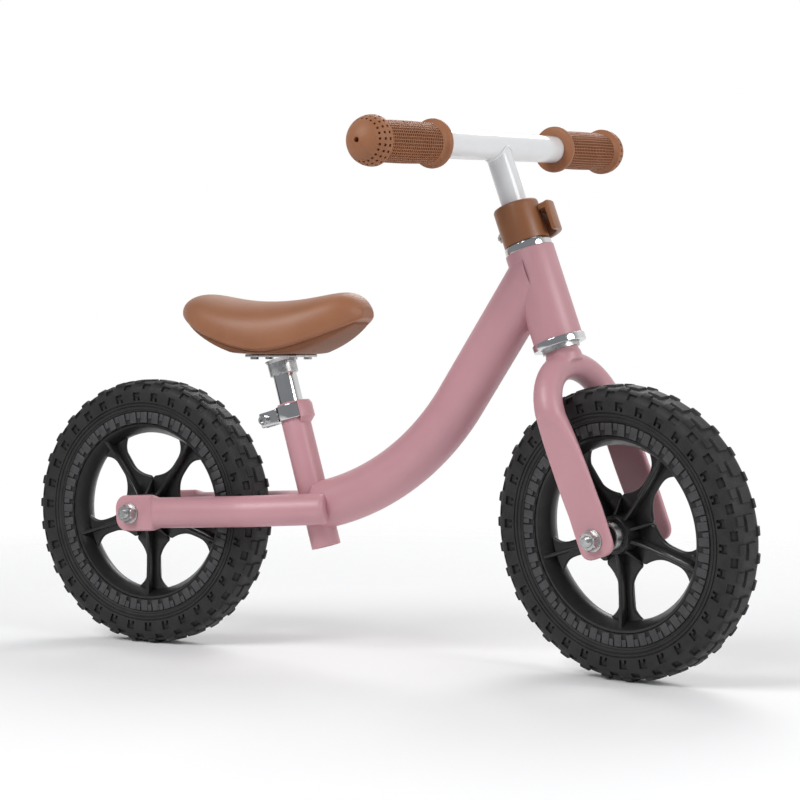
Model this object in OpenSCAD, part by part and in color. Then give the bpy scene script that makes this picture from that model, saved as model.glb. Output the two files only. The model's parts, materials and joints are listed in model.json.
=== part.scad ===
// A child's balance bike: a welded steel frame with one bent main tube, a bent-tube fork,
// two moulded wheels on ball bearings, a clamped handlebar and a clamped saddle.
// +X points forward, +Y to the rider's left, +Z up. The bike stands on its tyres at Z = 0.

/* [Stance] */
// Distance between the axles with the front wheel straight ahead
wheelbase = 557; // [520:1:640]
// Angle between the ground and the head tube
head_angle = 70.6; // [66:0.1:76]
// Distance of the front axle ahead of the steering axis
fork_rake = 4.6; // [0:0.1:12]
// How far the fork is turned, positive to the rider's left
steer = -14.3; // [-30:0.1:30]
// How far the handlebar sits turned in its clamp
bar_turn = 5.3; // [-8:0.1:8]

/* [Tyres] */
// Outside diameter of the tyres
tyre_d = 290; // [270:1:300]
// Width of a tyre across its shoulders
tyre_w = 49; // [42:0.5:52]
// Roundness of the tyre's shoulders
tyre_corner = 14; // [8:0.5:18]
// Radius of the seat between tyre and rim
rim_seat_r = 97; // [95:0.5:104]
// Outer radius of the flat band on the tyre's side
side_band_r = 110; // [107:0.5:114]
// Width of the tyre across its flat side bands
side_band_w = 34; // [30:0.5:38]

/* [Rims] */
// Outer radius of the openings between the spokes
window_r = 86.3; // [80:0.1:90]
// Width of the rim's barrel
rim_w = 30; // [24:0.5:34]
// Number of spokes
spokes = 5; // [3:1:8]
// Width of a spoke at its middle
spoke_w = 17; // [12:0.5:22]
// Thickness of a spoke's flat web
spoke_t = 5; // [3:0.5:8]
// Width of the rib along a spoke
rib_w = 5; // [3:0.5:8]
// Depth of the rib, across the wheel
rib_t = 28; // [12:1:30]
// Radius at which the openings' inner corners lie
window_corner_r = 34; // [28:0.5:44]
// Width a spoke gains on each side where it joins the rim
spoke_foot = 12; // [8:0.5:14]
// Outside radius of the moulded hub
hub_r = 20; // [18:0.5:24]
// Length of the moulded hub
hub_l = 42; // [36:1:46]

/* [Hubs] */
// Axle diameter
axle_d = 10; // [8:0.5:12]
// Diameter of the axles' thread where it stands out of the nuts
axle_end_d = 9.4; // [7:0.1:11.5]
// Outside radius of a wheel bearing
bearing_r = 13; // [12.5:0.5:15]
// Width of a wheel bearing
bearing_w = 8; // [7:0.5:10]
// Wall of the steel sleeve that holds the bearings
sleeve_wall = 1.2; // [1:0.1:2]
// Length of the steel sleeve
sleeve_l = 62; // [56:1:70]
// Radius of a bearing ball
ball_r = 2.3; // [1.8:0.1:2.4]
// Radius of the circle of ball centres
ball_pitch_r = 9.1; // [9:0.1:9.3]
// Balls in one bearing
balls = 8; // [6:1:9]
// Across-flats size of the axle nuts
nut_af = 17; // [16:0.5:19]
// Thickness of an axle nut
nut_t = 8; // [6:0.5:10]
// Radius of a washer
washer_r = 11; // [10:0.5:13]
// Thickness of a washer
washer_t = 1.5; // [1:0.1:2.5]
// Bare thread beyond each axle nut
axle_tail = 4.5; // [2:0.5:10]

/* [Head tube and headset] */
// Outside diameter of the head tube
head_tube_d = 49.6; // [46:0.1:51]
// Wall of the head tube
head_tube_wall = 2.5; // [1.5:0.1:4]
// Length of the head tube
head_tube_l = 93.5; // [80:0.5:110]
// Height of the head tube's lower end above the front axle, along the steering axis
head_tube_foot = 200.6; // [196:0.1:220]
// Height of the lower headset cup
lower_cup_h = 7.2; // [5:0.1:9]
// Outside radius of the lower headset cup
lower_cup_r = 26.9; // [25:0.1:29]
// Height of the upper headset cup
upper_cup_h = 7.2; // [5:0.1:9]
// Outside radius of the upper headset cup
upper_cup_r = 23.8; // [23:0.1:26]
// Radius of a headset ball
head_ball_r = 2; // [1.5:0.1:2.4]
// Balls in one headset race
head_balls = 16; // [10:1:20]

/* [Frame tubes] */
// Outside diameter of the main tube
main_tube_d = 51; // [44:0.5:54]
// Wall of the frame's tubes
tube_wall = 1.8; // [1.2:0.1:3]
// Angle between the ground and the seat tube
seat_angle = 74.2; // [70:0.1:78]
// Distance of the seat tube's line, at the ground, ahead of the rear axle
seat_foot = 253.5; // [245:0.5:275]
// Outside diameter of the seat tube
seat_tube_d = 31; // [30:0.1:34]
// Lower end of the seat tube, along it from the ground
seat_tube_foot = 120; // [112:1:130]
// Upper end of the seat tube, along it from the ground
seat_tube_top = 277; // [265:1:300]
// Height above the ground at which the main tube leaves the seat tube
main_foot_z = 157.5; // [152:0.5:162]
// Slope of the main tube where it leaves the seat tube
main_low_angle = 13.9; // [8:0.1:20]
// Slope of the main tube where it meets the head tube
main_high_angle = 56.9; // [54:0.1:58]
// Straight length before the main tube's bend
main_lead = 15; // [8:1:24]
// Radius of the main tube's bend, to its middle line
main_bend_r = 260; // [240:1:270]
// Outside diameter of a chainstay
stay_d = 33; // [28:0.5:34]
// Distance of a chainstay's middle line from the bike's centre at the rear
stay_out = 43.5; // [43:0.5:48]
// The same distance at the seat tube
stay_in = 22; // [20:0.5:24]
// Length along the bike over which a chainstay swings outwards
stay_flare = 82; // [70:1:90]
// Length of a chainstay's flattened end in front of the axle
stay_flat = 27; // [24:0.5:34]
// Length over which a tube's end is pressed flat
press_l = 13; // [10:0.5:20]

/* [Dropouts] */
// Gap between the flattened ends of the chainstays
rear_gap = 81; // [78:0.5:86]
// Thickness of a flattened chainstay end
stay_plate_t = 5; // [4:0.5:7]
// Height of a flattened chainstay end
stay_plate_h = 39; // [34:0.5:44]
// Length of a flattened end beyond the axle
plate_tail = 18; // [16:0.5:22]
// Corner radius of the flattened ends
plate_corner = 12; // [6:0.5:14]

/* [Fork] */
// Gap between the flattened ends of the fork legs
front_gap = 92; // [88:0.5:100]
// Outside diameter of the fork's tube
fork_tube_d = 28; // [24:0.5:30]
// Distance of a leg's middle line from the fork's middle
fork_half = 49; // [46:0.5:54]
// Height of the crown's middle line above the axle
crown_h = 173.4; // [172:0.2:176]
// Thickness of a flattened leg end
leg_plate_t = 6; // [4:0.5:8]
// Width of a flattened leg end
leg_plate_w = 41; // [36:0.5:44]
// Height above the axle at which a leg is quite flat
leg_flat_h = 32; // [28:1:50]
// Outside diameter of the steerer tube
steerer_d = 30; // [29.5:0.1:32]

/* [Handlebar] */
// Height of the bar above the front axle, along the steering axis
bar_h = 405.6; // [396:0.5:430]
// Diameter of the bar
bar_d = 28; // [24:0.5:29]
// Diameter of the stem
stem_d = 26; // [24:0.1:26.5]
// Length of the stem below the bar
stem_l = 170; // [150:1:200]
// Wall of the bar and the stem
bar_wall = 1.8; // [1.2:0.1:3]
// Distance from the middle of the bar to the end of a grip
bar_half = 229; // [200:1:250]
// Length of a grip
grip_l = 123; // [100:1:130]
// Radius of a grip's hand hold
grip_r = 19.5; // [18:0.25:22]
// Radius of a grip's ball end and of its inner flange
grip_end_r = 24; // [23:0.25:27]
// Thickness of a grip's inner flange
grip_flange_t = 7; // [4:0.5:10]

/* [Collar and lever] */
// Outside radius of the clamping collar
collar_r = 23; // [21:0.1:25]
// Height of the clamping collar
collar_h = 40.5; // [36:0.5:46]
// Width of the slits in the collar and the steerer
slit_w = 2; // [1:0.1:3]
// Outside radius of the lever where it wraps the collar
lever_r = 37.5; // [36:0.1:40]
// Thickness of the lever's wall
lever_t = 6; // [4:0.2:7]
// Height of the lever
lever_h = 30; // [24:0.5:32]

/* [Saddle] */
// Diameter of the seat post
post_d = 25.4; // [24:0.1:26]
// Lower end of the seat post, along the seat tube from the ground
post_foot = 168; // [166:1:180]
// Length of the saddle
saddle_l = 238; // [220:1:250]
// Greatest half width of the saddle
saddle_half_w = 66; // [60:0.5:74]
// Nose of the saddle, ahead of the seat post's top
saddle_nose = 112.5; // [104:0.5:124]
// Height of the saddle's lowest edge
saddle_low_z = 321; // [320:1:326]

/* [Clearances] */
// Radial clearance of a part that slides or turns on another
fit_gap = 0.05; // [0.02:0.01:0.1]
// Gap between balls and the moving race
ball_gap = 0.3; // [0.2:0.05:0.5]
// Gap between parts that pass close by each other
run_gap = 0.5; // [0.3:0.1:1]

/* [Hidden] */
$fn = 64;
eps = 0.01;
cut = 1;

tyre_r = tyre_d / 2;
tyre_half = tyre_w / 2;
main_r = main_tube_d / 2;
head_r = head_tube_d / 2;
seat_r = seat_tube_d / 2;
stay_r = stay_d / 2;
fork_r = fork_tube_d / 2;
axle_bore = axle_d / 2 + fit_gap;

// Reach of a turned tyre along a direction that leans on its axle by the sine s
function tyre_reach(s) = (tyre_r - tyre_corner) * sqrt(1 - s * s)
    + (tyre_half - tyre_corner) * abs(s) + tyre_corner;
lean = 90 - head_angle;
rake_lost = fork_rake * (1 - cos(steer));
front_z = tyre_reach(sin(steer) * sin(lean)) + rake_lost * sin(lean);
front_x = wheelbase / 2;
rear_x = -wheelbase / 2;
nose_x = front_x - rake_lost * cos(lean) + tyre_reach(sin(steer) * cos(lean));
tail_x = rear_x - tyre_r;
mid_x = (nose_x + tail_x) / 2;

// Heights along the steering axis, from the front axle
head_tube_head = head_tube_foot + head_tube_l;
collar_foot = head_tube_head + upper_cup_h + 1.2;
collar_top = collar_foot + collar_h;
lever_foot = collar_foot + 2;
stem_foot = bar_h - stem_l;
stem_bore = stem_d / 2 + fit_gap;
collar_bore = steerer_d / 2 + fit_gap;

// Line of the seat tube and the main tube
seat_foot_x = rear_x + seat_foot;
seat_lean = 90 - seat_angle;
clamp_h = 16;
clamp_top = seat_tube_top - 2;
clamp_wall = 3.2;
clamp_r = seat_r + clamp_wall;
clamp_ear_r = 40;
clamp_bolt_r = 34;
clamp_ear_t = 4;
clamp_gap = 4;
clamp_bolt_d = 6;
main_start_x = seat_foot_x - main_foot_z * tan(seat_lean);
main_bend_x = main_start_x + main_lead * cos(main_low_angle) - main_bend_r * sin(main_low_angle);
main_bend_z = main_foot_z + main_lead * sin(main_low_angle) + main_bend_r * cos(main_low_angle);
main_top_x = main_bend_x + main_bend_r * sin(main_high_angle);
main_top_z = main_bend_z - main_bend_r * cos(main_high_angle);
head_x = front_x - fork_rake * cos(lean);
head_z = front_z - fork_rake * sin(lean);
// Length of the main tube's upper straight, to the steering axis
main_rise = ((head_x - main_top_x) * cos(lean) + (head_z - main_top_z) * sin(lean))
    / cos(main_high_angle - lean);

// Line of a chainstay
stay_front_x = main_start_x + 22;
stay_front_z = main_foot_z - 0.5;
stay_slope = (stay_front_z - tyre_r) / (stay_front_x - rear_x);
stay_tilt = atan(stay_slope);
stay_elbow_r = 80;
function stay_z(x) = tyre_r + (x - rear_x) * stay_slope;

// Levels of a fork leg
crown_foot = crown_h - fork_half;
leg_centre = (front_gap + leg_plate_t) / 2;
leg_press = crown_foot - leg_flat_h;

// Bearings
bearing_out = sleeve_l / 2 - 1;
bearing_in = bearing_out - bearing_w;
inner_race_r = ball_pitch_r - ball_r - 0.1;
outer_race_in = ball_pitch_r + ball_r + ball_gap;
sleeve_r = bearing_r + sleeve_wall;

// Saddle levels and its outline, from the tail at 0 to the nose at 1
pan_t = 3;
bracket_t = 3;
bracket_l = 64;
bracket_w = 44;
bracket_cup_h = 15;
screw_r = 2.5;
screw_top = bracket_t + pan_t - 0.2;
bracket_z = saddle_low_z - pan_t - bracket_t;
post_top = (bracket_z - 0.3) / cos(seat_lean) - post_d / 2 * tan(seat_lean);
post_top_x = seat_foot_x - post_top * sin(seat_lean);
saddle_tail_x = post_top_x + saddle_nose - saddle_l;
saddle_rise = 54;

// Lever pivot, in the collar's own frame
ear_turn = 150;
bolt_out = 30;
pin_side = 14.8;
pin_r = 2.5;

paint = [0.80, 0.55, 0.58];
brown = [0.55, 0.30, 0.16];
black = [0.06, 0.06, 0.065];
steel = [0.72, 0.73, 0.75];

// The whole bike is set so that its box is centred on the origin
module placed() { translate([-mid_x, 0, 0]) children(); }
module in_head() {
    placed() translate([front_x, 0, front_z]) rotate([0, -lean, 0])
        translate([-fork_rake, 0, 0]) children();
}
module in_fork() { in_head() rotate([0, 0, steer]) children(); }
module in_bar() {
    in_head() rotate([0, 0, steer + bar_turn]) translate([0, 0, bar_h]) children();
}
module at_front() { in_fork() translate([fork_rake, 0, 0]) children(); }
module at_rear() { placed() translate([rear_x, 0, tyre_r]) children(); }
module in_seat() { placed() translate([seat_foot_x, 0, 0]) rotate([0, -seat_lean, 0]) children(); }
module across() { rotate([90, 0, 0]) children(); }
module both() {
    children();
    mirror([0, 1, 0]) children();
}
module ring(r_out, r_in, h) {
    difference() {
        cylinder(r = r_out, h = h);
        translate([0, 0, -cut]) cylinder(r = r_in, h = h + 2 * cut);
    }
}
// A ring across the bike, from y = 'from' outwards on the left
module side_ring(r_out, r_in, from, w) {
    translate([0, from + w, 0]) across() ring(r_out, r_in, w);
}
// A ring of points round p: an oval with half axes u (long) and v (short), round-ended
function oval(p, u, v, sides) = [for (k = [0 : sides - 1])
    let (a = 360 * (k + 0.5) / sides, long = norm(u), short = norm(v))
    p + u / long * (sign(cos(a)) * (long - short) + short * cos(a)) + v * sin(a)];
// A closed solid through a row of rings, each with as many points
module skin(rings) {
    n = len(rings[0]);
    last = len(rings) - 1;
    points = [for (ring = rings) for (p = ring) p];
    sides = [for (i = [0 : last - 1]) for (k = [0 : n - 1])
        let (k2 = (k + 1) % n, a = i * n, b = a + n)
        for (t = [[a + k, b + k, b + k2], [a + k, b + k2, a + k2]]) t];
    ends = [[for (k = [0 : n - 1]) k], [for (k = [n - 1 : -1 : 0]) last * n + k]];
    polyhedron(points, concat(sides, ends));
}

// ---- wheels, about their own axle ----
module tyre_shape() {
    steps = 8;
    shoulder = [for (i = [0 : steps])
        let (a = 90 * i / steps)
        [tyre_r - tyre_corner + tyre_corner * cos(a), tyre_half - tyre_corner + tyre_corner * sin(a)]];
    side = [[side_band_r, side_band_w / 2 + 1], [side_band_r, side_band_w / 2],
            [rim_seat_r, side_band_w / 2]];
    half = concat(shoulder, side);
    other = [for (i = [len(half) - 1 : -1 : 0]) [half[i][0], -half[i][1]]];
    color(black) across() rotate_extrude($fn = 96) polygon(concat(half, other));
}
// Half width of a spoke at radius r: it widens from its middle to the hub and to the rim
spoke_mid_r = (window_corner_r + window_r) / 2;
function spoke_half(r) = spoke_w / 2
    + (window_corner_r * sin(180 / spokes) - spoke_w / 2)
    * pow(max(0, (spoke_mid_r - r) / (spoke_mid_r - window_corner_r)), 2.2)
    + spoke_foot * pow(max(0, (r - spoke_mid_r) / (window_r - spoke_mid_r)), 3);
function window_edge(r, side) =
    let (a = side * (180 / spokes - asin(spoke_half(r) / r)))
    [r * cos(a), r * sin(a)];
module window() {
    inner = window_corner_r + 0.6;
    steps = 16;
    radii = [for (i = [0 : steps]) inner + (window_r - inner) * sin(90 * i / steps)];
    edge_a = 180 / spokes - asin(spoke_half(window_r) / window_r);
    left = [for (r = radii) window_edge(r, 1)];
    rim_arc = [for (i = [1 : 7]) let (a = edge_a * (1 - i / 4)) [window_r * cos(a), window_r * sin(a)]];
    right = [for (i = [steps : -1 : 0]) window_edge(radii[i], -1)];
    polygon(concat(left, rim_arc, right));
}
module rim_shape() {
    lip = rim_w / 2 + 1;
    wall = 4;
    color(black) difference() {
        union() {
            across() rotate_extrude($fn = 96)
                polygon([[rim_seat_r, rim_w / 2], [rim_seat_r - wall, lip], [window_r, spoke_t / 2],
                         [window_r - eps, 0],
                         [window_r, -spoke_t / 2], [rim_seat_r - wall, -lip], [rim_seat_r, -rim_w / 2]]);
            across() linear_extrude(height = spoke_t, center = true) difference() {
                circle(r = window_r + 1, $fn = 96);
                for (i = [0 : spokes - 1]) rotate(-90 + (i + 0.5) * 360 / spokes) window();
            }
            across() cylinder(r = hub_r, h = hub_l, center = true);
            for (i = [0 : spokes - 1])
                rotate([0, 90 + i * 360 / spokes, 0])
                    translate([hub_r - 1, -rib_t / 2, -rib_w / 2])
                    cube([rim_seat_r - wall - hub_r, rib_t, rib_w]);
        }
        across() cylinder(r = sleeve_r, h = hub_l + 2 * cut, center = true);
    }
}
module sleeve_shape() {
    color(steel) translate([0, sleeve_l / 2, 0]) across() ring(sleeve_r, bearing_r, sleeve_l);
}
module outer_races_shape() {
    color(steel) both() side_ring(bearing_r, outer_race_in, bearing_in, bearing_w);
}
module seals_shape() {
    seal_t = 0.8;
    color(black) both()
        side_ring(outer_race_in, inner_race_r + run_gap, bearing_out - seal_t - 0.2, seal_t);
}
module inner_races_shape() {
    color(steel) both() side_ring(inner_race_r, axle_bore, bearing_in, bearing_w);
}
module balls_shape() {
    color(steel) both() for (i = [0 : balls - 1])
        rotate([0, i * 360 / balls, 0])
            translate([ball_pitch_r, bearing_in + bearing_w / 2 - 0.6, 0])
            sphere(r = ball_r, $fn = 24);
}
module spacers_shape(gap) {
    color(steel) {
        both() side_ring(inner_race_r, axle_bore, bearing_out, gap / 2 - bearing_out);
        translate([0, bearing_in, 0]) across() ring(inner_race_r, axle_bore, 2 * bearing_in);
    }
}
module axle_shape(gap, plate) {
    half = gap / 2 + plate + washer_t + nut_t;
    color(steel) across() {
        cylinder(d = axle_d, h = 2 * half, center = true);
        cylinder(d = axle_end_d, h = 2 * (half + axle_tail), center = true);
    }
}
module washers_shape(gap, plate) {
    color(steel) both() side_ring(washer_r, axle_bore, gap / 2 + plate, washer_t);
}
module nuts_shape(gap, plate) {
    color(steel) both() translate([0, gap / 2 + plate + washer_t + nut_t, 0]) across()
        difference() {
            rotate(30) cylinder(d = nut_af / cos(30), h = nut_t, $fn = 6);
            translate([0, 0, -cut]) cylinder(r = axle_bore, h = nut_t + 2 * cut);
        }
}

// ---- frame ----
module head_tube_body(grow) {
    in_head() translate([0, 0, head_tube_foot - grow]) cylinder(r = head_r, h = head_tube_l + 2 * grow);
}
module head_tube() {
    color(paint) in_head() translate([0, 0, head_tube_foot]) ring(head_r, head_r - head_tube_wall, head_tube_l);
}
// Middle of the main tube and its heading, at a station along it
function main_ring(p, heading, r) =
    oval(p, [0, r, 0], [-r * sin(heading), 0, r * cos(heading)], 28);
function main_rings(r, foot, head) = let (steps = 12, lead = main_lead - foot, top = main_rise + head)
    concat([main_ring([main_start_x + foot * cos(main_low_angle), 0,
                       main_foot_z + foot * sin(main_low_angle)], main_low_angle, r)],
           [for (i = [0 : steps])
               let (a = main_low_angle + (main_high_angle - main_low_angle) * i / steps)
               main_ring([main_bend_x + main_bend_r * sin(a), 0, main_bend_z - main_bend_r * cos(a)],
                         a, r)],
           [main_ring([main_top_x + top * cos(main_high_angle), 0,
                       main_top_z + top * sin(main_high_angle)], main_high_angle, r)]);
// The main tube's first straight, a little large, to trim what is welded beside it
module main_foot() {
    placed() translate([main_start_x, 0, main_foot_z]) rotate([0, 90 - main_low_angle, 0])
        cylinder(r = main_r + 0.2, h = 3 * main_lead);
}
module seat_tube_body() {
    in_seat() translate([0, 0, seat_tube_foot]) cylinder(r = seat_r, h = seat_tube_top - seat_tube_foot);
}
module main_tube() {
    inset = 8;
    color(paint) difference() {
        placed() skin(main_rings(main_r, inset, 0));
        placed() skin(main_rings(main_r - tube_wall, inset - cut, cut));
        head_tube_body(main_tube_d);
        seat_tube_body();
    }
}
// The painted stop in front of the clamp band keeps the band from turning
module clamp_stop() {
    stop_in = clamp_r + fit_gap;
    stop_out = stop_in + 2.6;
    foot = clamp_top - clamp_h;
    rotate([0, 0, -42]) rotate_extrude(angle = 84)
        polygon([[seat_r - 1, foot - 6], [stop_out, foot - 2], [stop_out, clamp_top - 3],
                 [stop_in + 0.8, clamp_top + 1], [stop_in, clamp_top + 1],
                 [stop_in, foot - fit_gap], [seat_r - 1, foot - fit_gap]]);
}
module seat_tube() {
    slot_l = 30;
    color(paint) difference() {
        union() {
            seat_tube_body();
            in_seat() clamp_stop();
        }
        in_seat() translate([0, 0, seat_tube_foot - cut])
            cylinder(d = post_d + 2 * fit_gap, h = seat_tube_top - seat_tube_foot + 2 * cut);
        in_seat() translate([-seat_r - cut, -slit_w / 2, seat_tube_top - slot_l])
            cube([seat_r, slit_w, slot_l + cut]);
    }
}
// A chainstay is straight, an elbow and straight again as seen from above, then pressed flat
stay_swing = atan2(stay_out - stay_in, stay_flare);
stay_tangent = stay_elbow_r * tan(stay_swing / 2);
function stay_ring(x, y, turn, h, t) =
    oval([x, y, 0], [0, 0, h / 2], [t / 2 * sin(turn), t / 2 * cos(turn), 0], 24);
function stay_round(d, lead) = let (steps = 4)
    concat([stay_ring(lead, stay_in - lead * tan(stay_swing), stay_swing, d + eps, d)],
           [for (i = [0 : steps])
               let (a = stay_swing * (1 - i / steps), foot = -stay_flare - stay_tangent)
               stay_ring(foot + stay_elbow_r * sin(a), stay_out - stay_elbow_r * (1 - cos(a)), a,
                         d + eps, d)]);
stay_plate_y = rear_gap / 2 + stay_plate_t / 2;
axle_at = (stay_front_x - rear_x) / cos(stay_tilt);
// Half height of a flattened end, at distance d inside its tail
function plate_half(d, w) = w / 2 - plate_corner
    + sqrt(max(0, pow(plate_corner, 2) - pow(max(0, plate_corner - d), 2)));
function stay_pressed() = let (steps = 4, start = axle_at - stay_flat - press_l)
    [for (i = [0 : steps])
        let (part = i / steps, mix = (1 - cos(180 * part)) / 2)
        stay_ring(-start - press_l * part, stay_out + (stay_plate_y - stay_out) * mix, 0,
                  stay_d + eps + (stay_plate_h - stay_d) * mix,
                  stay_d + (stay_plate_t - stay_d) * mix)];
function stay_tail() = let (steps = 4)
    [for (i = [0 : steps])
        let (d = plate_corner * (1 - sin(90 * i / steps)))
        stay_ring(-axle_at - plate_tail + d, stay_plate_y, 0, 2 * plate_half(d, stay_plate_h),
                  stay_plate_t)];
module in_stay() {
    placed() translate([stay_front_x, 0, stay_z(stay_front_x)]) rotate([0, -stay_tilt, 0]) children();
}
module chainstay() {
    color(paint) difference() {
        in_stay() skin(concat(stay_round(stay_d, 0), stay_pressed(), stay_tail()));
        in_stay() skin(concat(stay_round(stay_d - 2 * tube_wall, -tube_wall),
            [stay_ring(-axle_at + stay_flat + press_l + 2, stay_out, 0,
                       stay_d - 2 * tube_wall + eps, stay_d - 2 * tube_wall)]));
        seat_tube_body();
        main_foot();
        at_rear() translate([0, rear_gap, 0]) across() cylinder(r = axle_bore, h = rear_gap);
    }
}
module chainstay_left() { chainstay(); }
module chainstay_right() { mirror([0, 1, 0]) chainstay(); }
module upper_headset_cup() {
    color(steel) in_head() {
        translate([0, 0, head_tube_head]) ring(upper_cup_r, steerer_d / 2 + 5.3, upper_cup_h);
        translate([0, 0, head_tube_head - 8])
            ring(head_r - head_tube_wall, steerer_d / 2 + 5.3, 8);
    }
}
module lower_headset_cup() {
    color(steel) in_head() {
        translate([0, 0, head_tube_foot - lower_cup_h])
            ring(lower_cup_r, steerer_d / 2 + 5.3, lower_cup_h);
        translate([0, 0, head_tube_foot]) ring(head_r - head_tube_wall, steerer_d / 2 + 5.3, 8);
    }
}
module seat_clamp_band() {
    color(steel) in_seat() translate([0, 0, clamp_top - clamp_h]) difference() {
        union() {
            cylinder(r = clamp_r, h = clamp_h);
            translate([-clamp_ear_r, -clamp_gap / 2 - clamp_ear_t, 0])
                cube([clamp_ear_r - seat_r, clamp_gap + 2 * clamp_ear_t, clamp_h]);
        }
        translate([0, 0, -cut]) cylinder(r = seat_r, h = clamp_h + 2 * cut);
        translate([-clamp_ear_r - cut, -clamp_gap / 2, -cut])
            cube([clamp_ear_r, clamp_gap, clamp_h + 2 * cut]);
        translate([-clamp_bolt_r, clamp_ear_r, clamp_h / 2]) across()
            cylinder(d = clamp_bolt_d + 2 * fit_gap, h = 2 * clamp_ear_r);
    }
}
module in_clamp_bolt() {
    in_seat() translate([-clamp_bolt_r, 0, clamp_top - clamp_h / 2]) children();
}
clamp_face = clamp_gap / 2 + clamp_ear_t;
module seat_clamp_bolt() {
    head_t = 5;
    color(steel) in_clamp_bolt() {
        translate([0, clamp_face + 7, 0]) across()
            cylinder(d = clamp_bolt_d, h = 2 * clamp_face + 7 + eps);
        translate([0, -clamp_face, 0]) across() difference() {
            cylinder(r = 5, h = head_t);
            translate([0, 0, head_t - 3]) cylinder(r = 2.9, h = 3 + cut, $fn = 6);
        }
    }
}
module seat_clamp_nut() {
    color(steel) in_clamp_bolt() translate([0, clamp_face + 5, 0]) across() difference() {
        cylinder(r = 5.8, h = 5, $fn = 6);
        translate([0, 0, -cut]) cylinder(d = clamp_bolt_d + 2 * fit_gap, h = 5 + 2 * cut);
    }
}
module rear_axle() { at_rear() axle_shape(rear_gap, stay_plate_t); }
module rear_axle_nuts() { at_rear() nuts_shape(rear_gap, stay_plate_t); }
module rear_axle_washers() { at_rear() washers_shape(rear_gap, stay_plate_t); }
module rear_axle_spacers() { at_rear() spacers_shape(rear_gap); }
module rear_inner_races() { at_rear() inner_races_shape(); }
module rear_bearing_balls() { at_rear() balls_shape(); }
module rear_tyre() { at_rear() tyre_shape(); }
module rear_rim() { at_rear() rim_shape(); }
module rear_hub_sleeve() { at_rear() sleeve_shape(); }
module rear_outer_races() { at_rear() outer_races_shape(); }
module rear_bearing_seals() { at_rear() seals_shape(); }

// ---- fork ----
module steerer_tube() {
    foot = crown_h + fork_r - 8;
    slit_l = collar_h - 4;
    color(paint) in_fork() difference() {
        translate([0, 0, foot]) cylinder(d = steerer_d, h = collar_top - foot);
        translate([0, 0, foot + 3]) cylinder(r = stem_bore, h = collar_top - foot);
        rotate([0, 0, ear_turn]) translate([0, -slit_w / 2, collar_top - slit_l])
            cube([steerer_d, slit_w, slit_l + cut]);
    }
}
module crown_arch(r) {
    in_fork() translate([0, 0, crown_foot]) rotate([0, 0, 90]) rotate([90, 0, 0])
        rotate_extrude(angle = 180, $fn = 96) translate([fork_half, 0]) circle(r = r);
}
module fork_crown() {
    neck_r = 17;
    color(paint) difference() {
        union() {
            crown_arch(fork_r);
            in_fork() translate([0, 0, crown_h]) cylinder(r = neck_r, h = fork_r + 2);
        }
        crown_arch(fork_r - tube_wall);
        in_fork() translate([0, 0, crown_h + fork_r - 8]) cylinder(d = steerer_d, h = 20);
    }
}
module leg_end() {
    half = leg_plate_w / 2;
    inner = half - plate_corner;
    translate([fork_rake, leg_centre + leg_plate_t / 2, 0]) across()
        linear_extrude(height = leg_plate_t) difference() {
            union() {
                translate([-half, -plate_tail + plate_corner])
                    square([2 * half, plate_tail - plate_corner + leg_flat_h + eps]);
                translate([-inner, -plate_tail]) square([2 * inner, plate_corner]);
                for (s = [-1, 1]) translate([s * inner, -plate_tail + plate_corner])
                    circle(r = plate_corner);
            }
            circle(r = axle_bore);
        }
}
// One slice of a leg: a flat oval of width w and thickness t at height h
module leg_slice(h, w, t) {
    part = (crown_foot - h) / leg_press;
    side = fork_half + (leg_centre - fork_half) * part;
    translate([fork_rake * part, side, h]) for (s = [-1, 1])
        translate([s * (w - t) / 2, 0, 0]) cylinder(d = t, h = eps, $fn = 32);
}
module leg_slice_at(i) {
    // share of the press, width and thickness of each slice
    widths = [fork_tube_d, leg_plate_w - 5, leg_plate_w, leg_plate_w];
    thicks = [fork_tube_d, fork_tube_d * 0.74, fork_tube_d * 0.42, leg_plate_t];
    shares = [0, 0.34, 0.68, 1];
    leg_slice(crown_foot - leg_press * shares[i], widths[i], thicks[i]);
}
module fork_leg() {
    color(paint) difference() {
        union() {
            leg_end();
            for (i = [0 : 2]) hull() {
                leg_slice_at(i);
                leg_slice_at(i + 1);
            }
        }
        hull() {
            translate([0, fork_half, crown_foot]) cylinder(r = fork_r - tube_wall, h = cut, $fn = 32);
            translate([fork_rake * 0.6, fork_half, crown_foot - leg_press * 0.6])
                cylinder(r = 4, h = cut, $fn = 32);
        }
    }
}
module fork_leg_left() { in_fork() fork_leg(); }
module fork_leg_right() { in_fork() mirror([0, 1, 0]) fork_leg(); }
cone_h = 5;
cone_r = steerer_d / 2 + 4;
upper_race_z = head_tube_head + upper_cup_h - cone_h - 1;
lower_race_z = head_tube_foot - lower_cup_h + 1;
race_ball_r = steerer_d / 2 + head_ball_r + 0.5;
module headset_cones() {
    color(steel) in_fork() {
        translate([0, 0, upper_race_z + 2 * head_ball_r + 0.4])
            ring(cone_r, steerer_d / 2, collar_foot - upper_race_z - 2 * head_ball_r - 0.4);
        translate([0, 0, crown_h + fork_r + 2])
            ring(cone_r, steerer_d / 2, lower_race_z - crown_h - fork_r - 2.2);
    }
}
module headset_balls() {
    color(steel) in_fork() for (z = [upper_race_z + head_ball_r + 0.2, lower_race_z + head_ball_r])
        for (i = [0 : head_balls - 1]) rotate([0, 0, i * 360 / head_balls])
            translate([race_ball_r, 0, z]) sphere(r = head_ball_r, $fn = 24);
}
module front_axle() { at_front() axle_shape(front_gap, leg_plate_t); }
module front_axle_nuts() { at_front() nuts_shape(front_gap, leg_plate_t); }
module front_axle_washers() { at_front() washers_shape(front_gap, leg_plate_t); }
module front_axle_spacers() { at_front() spacers_shape(front_gap); }
module front_inner_races() { at_front() inner_races_shape(); }
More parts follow.
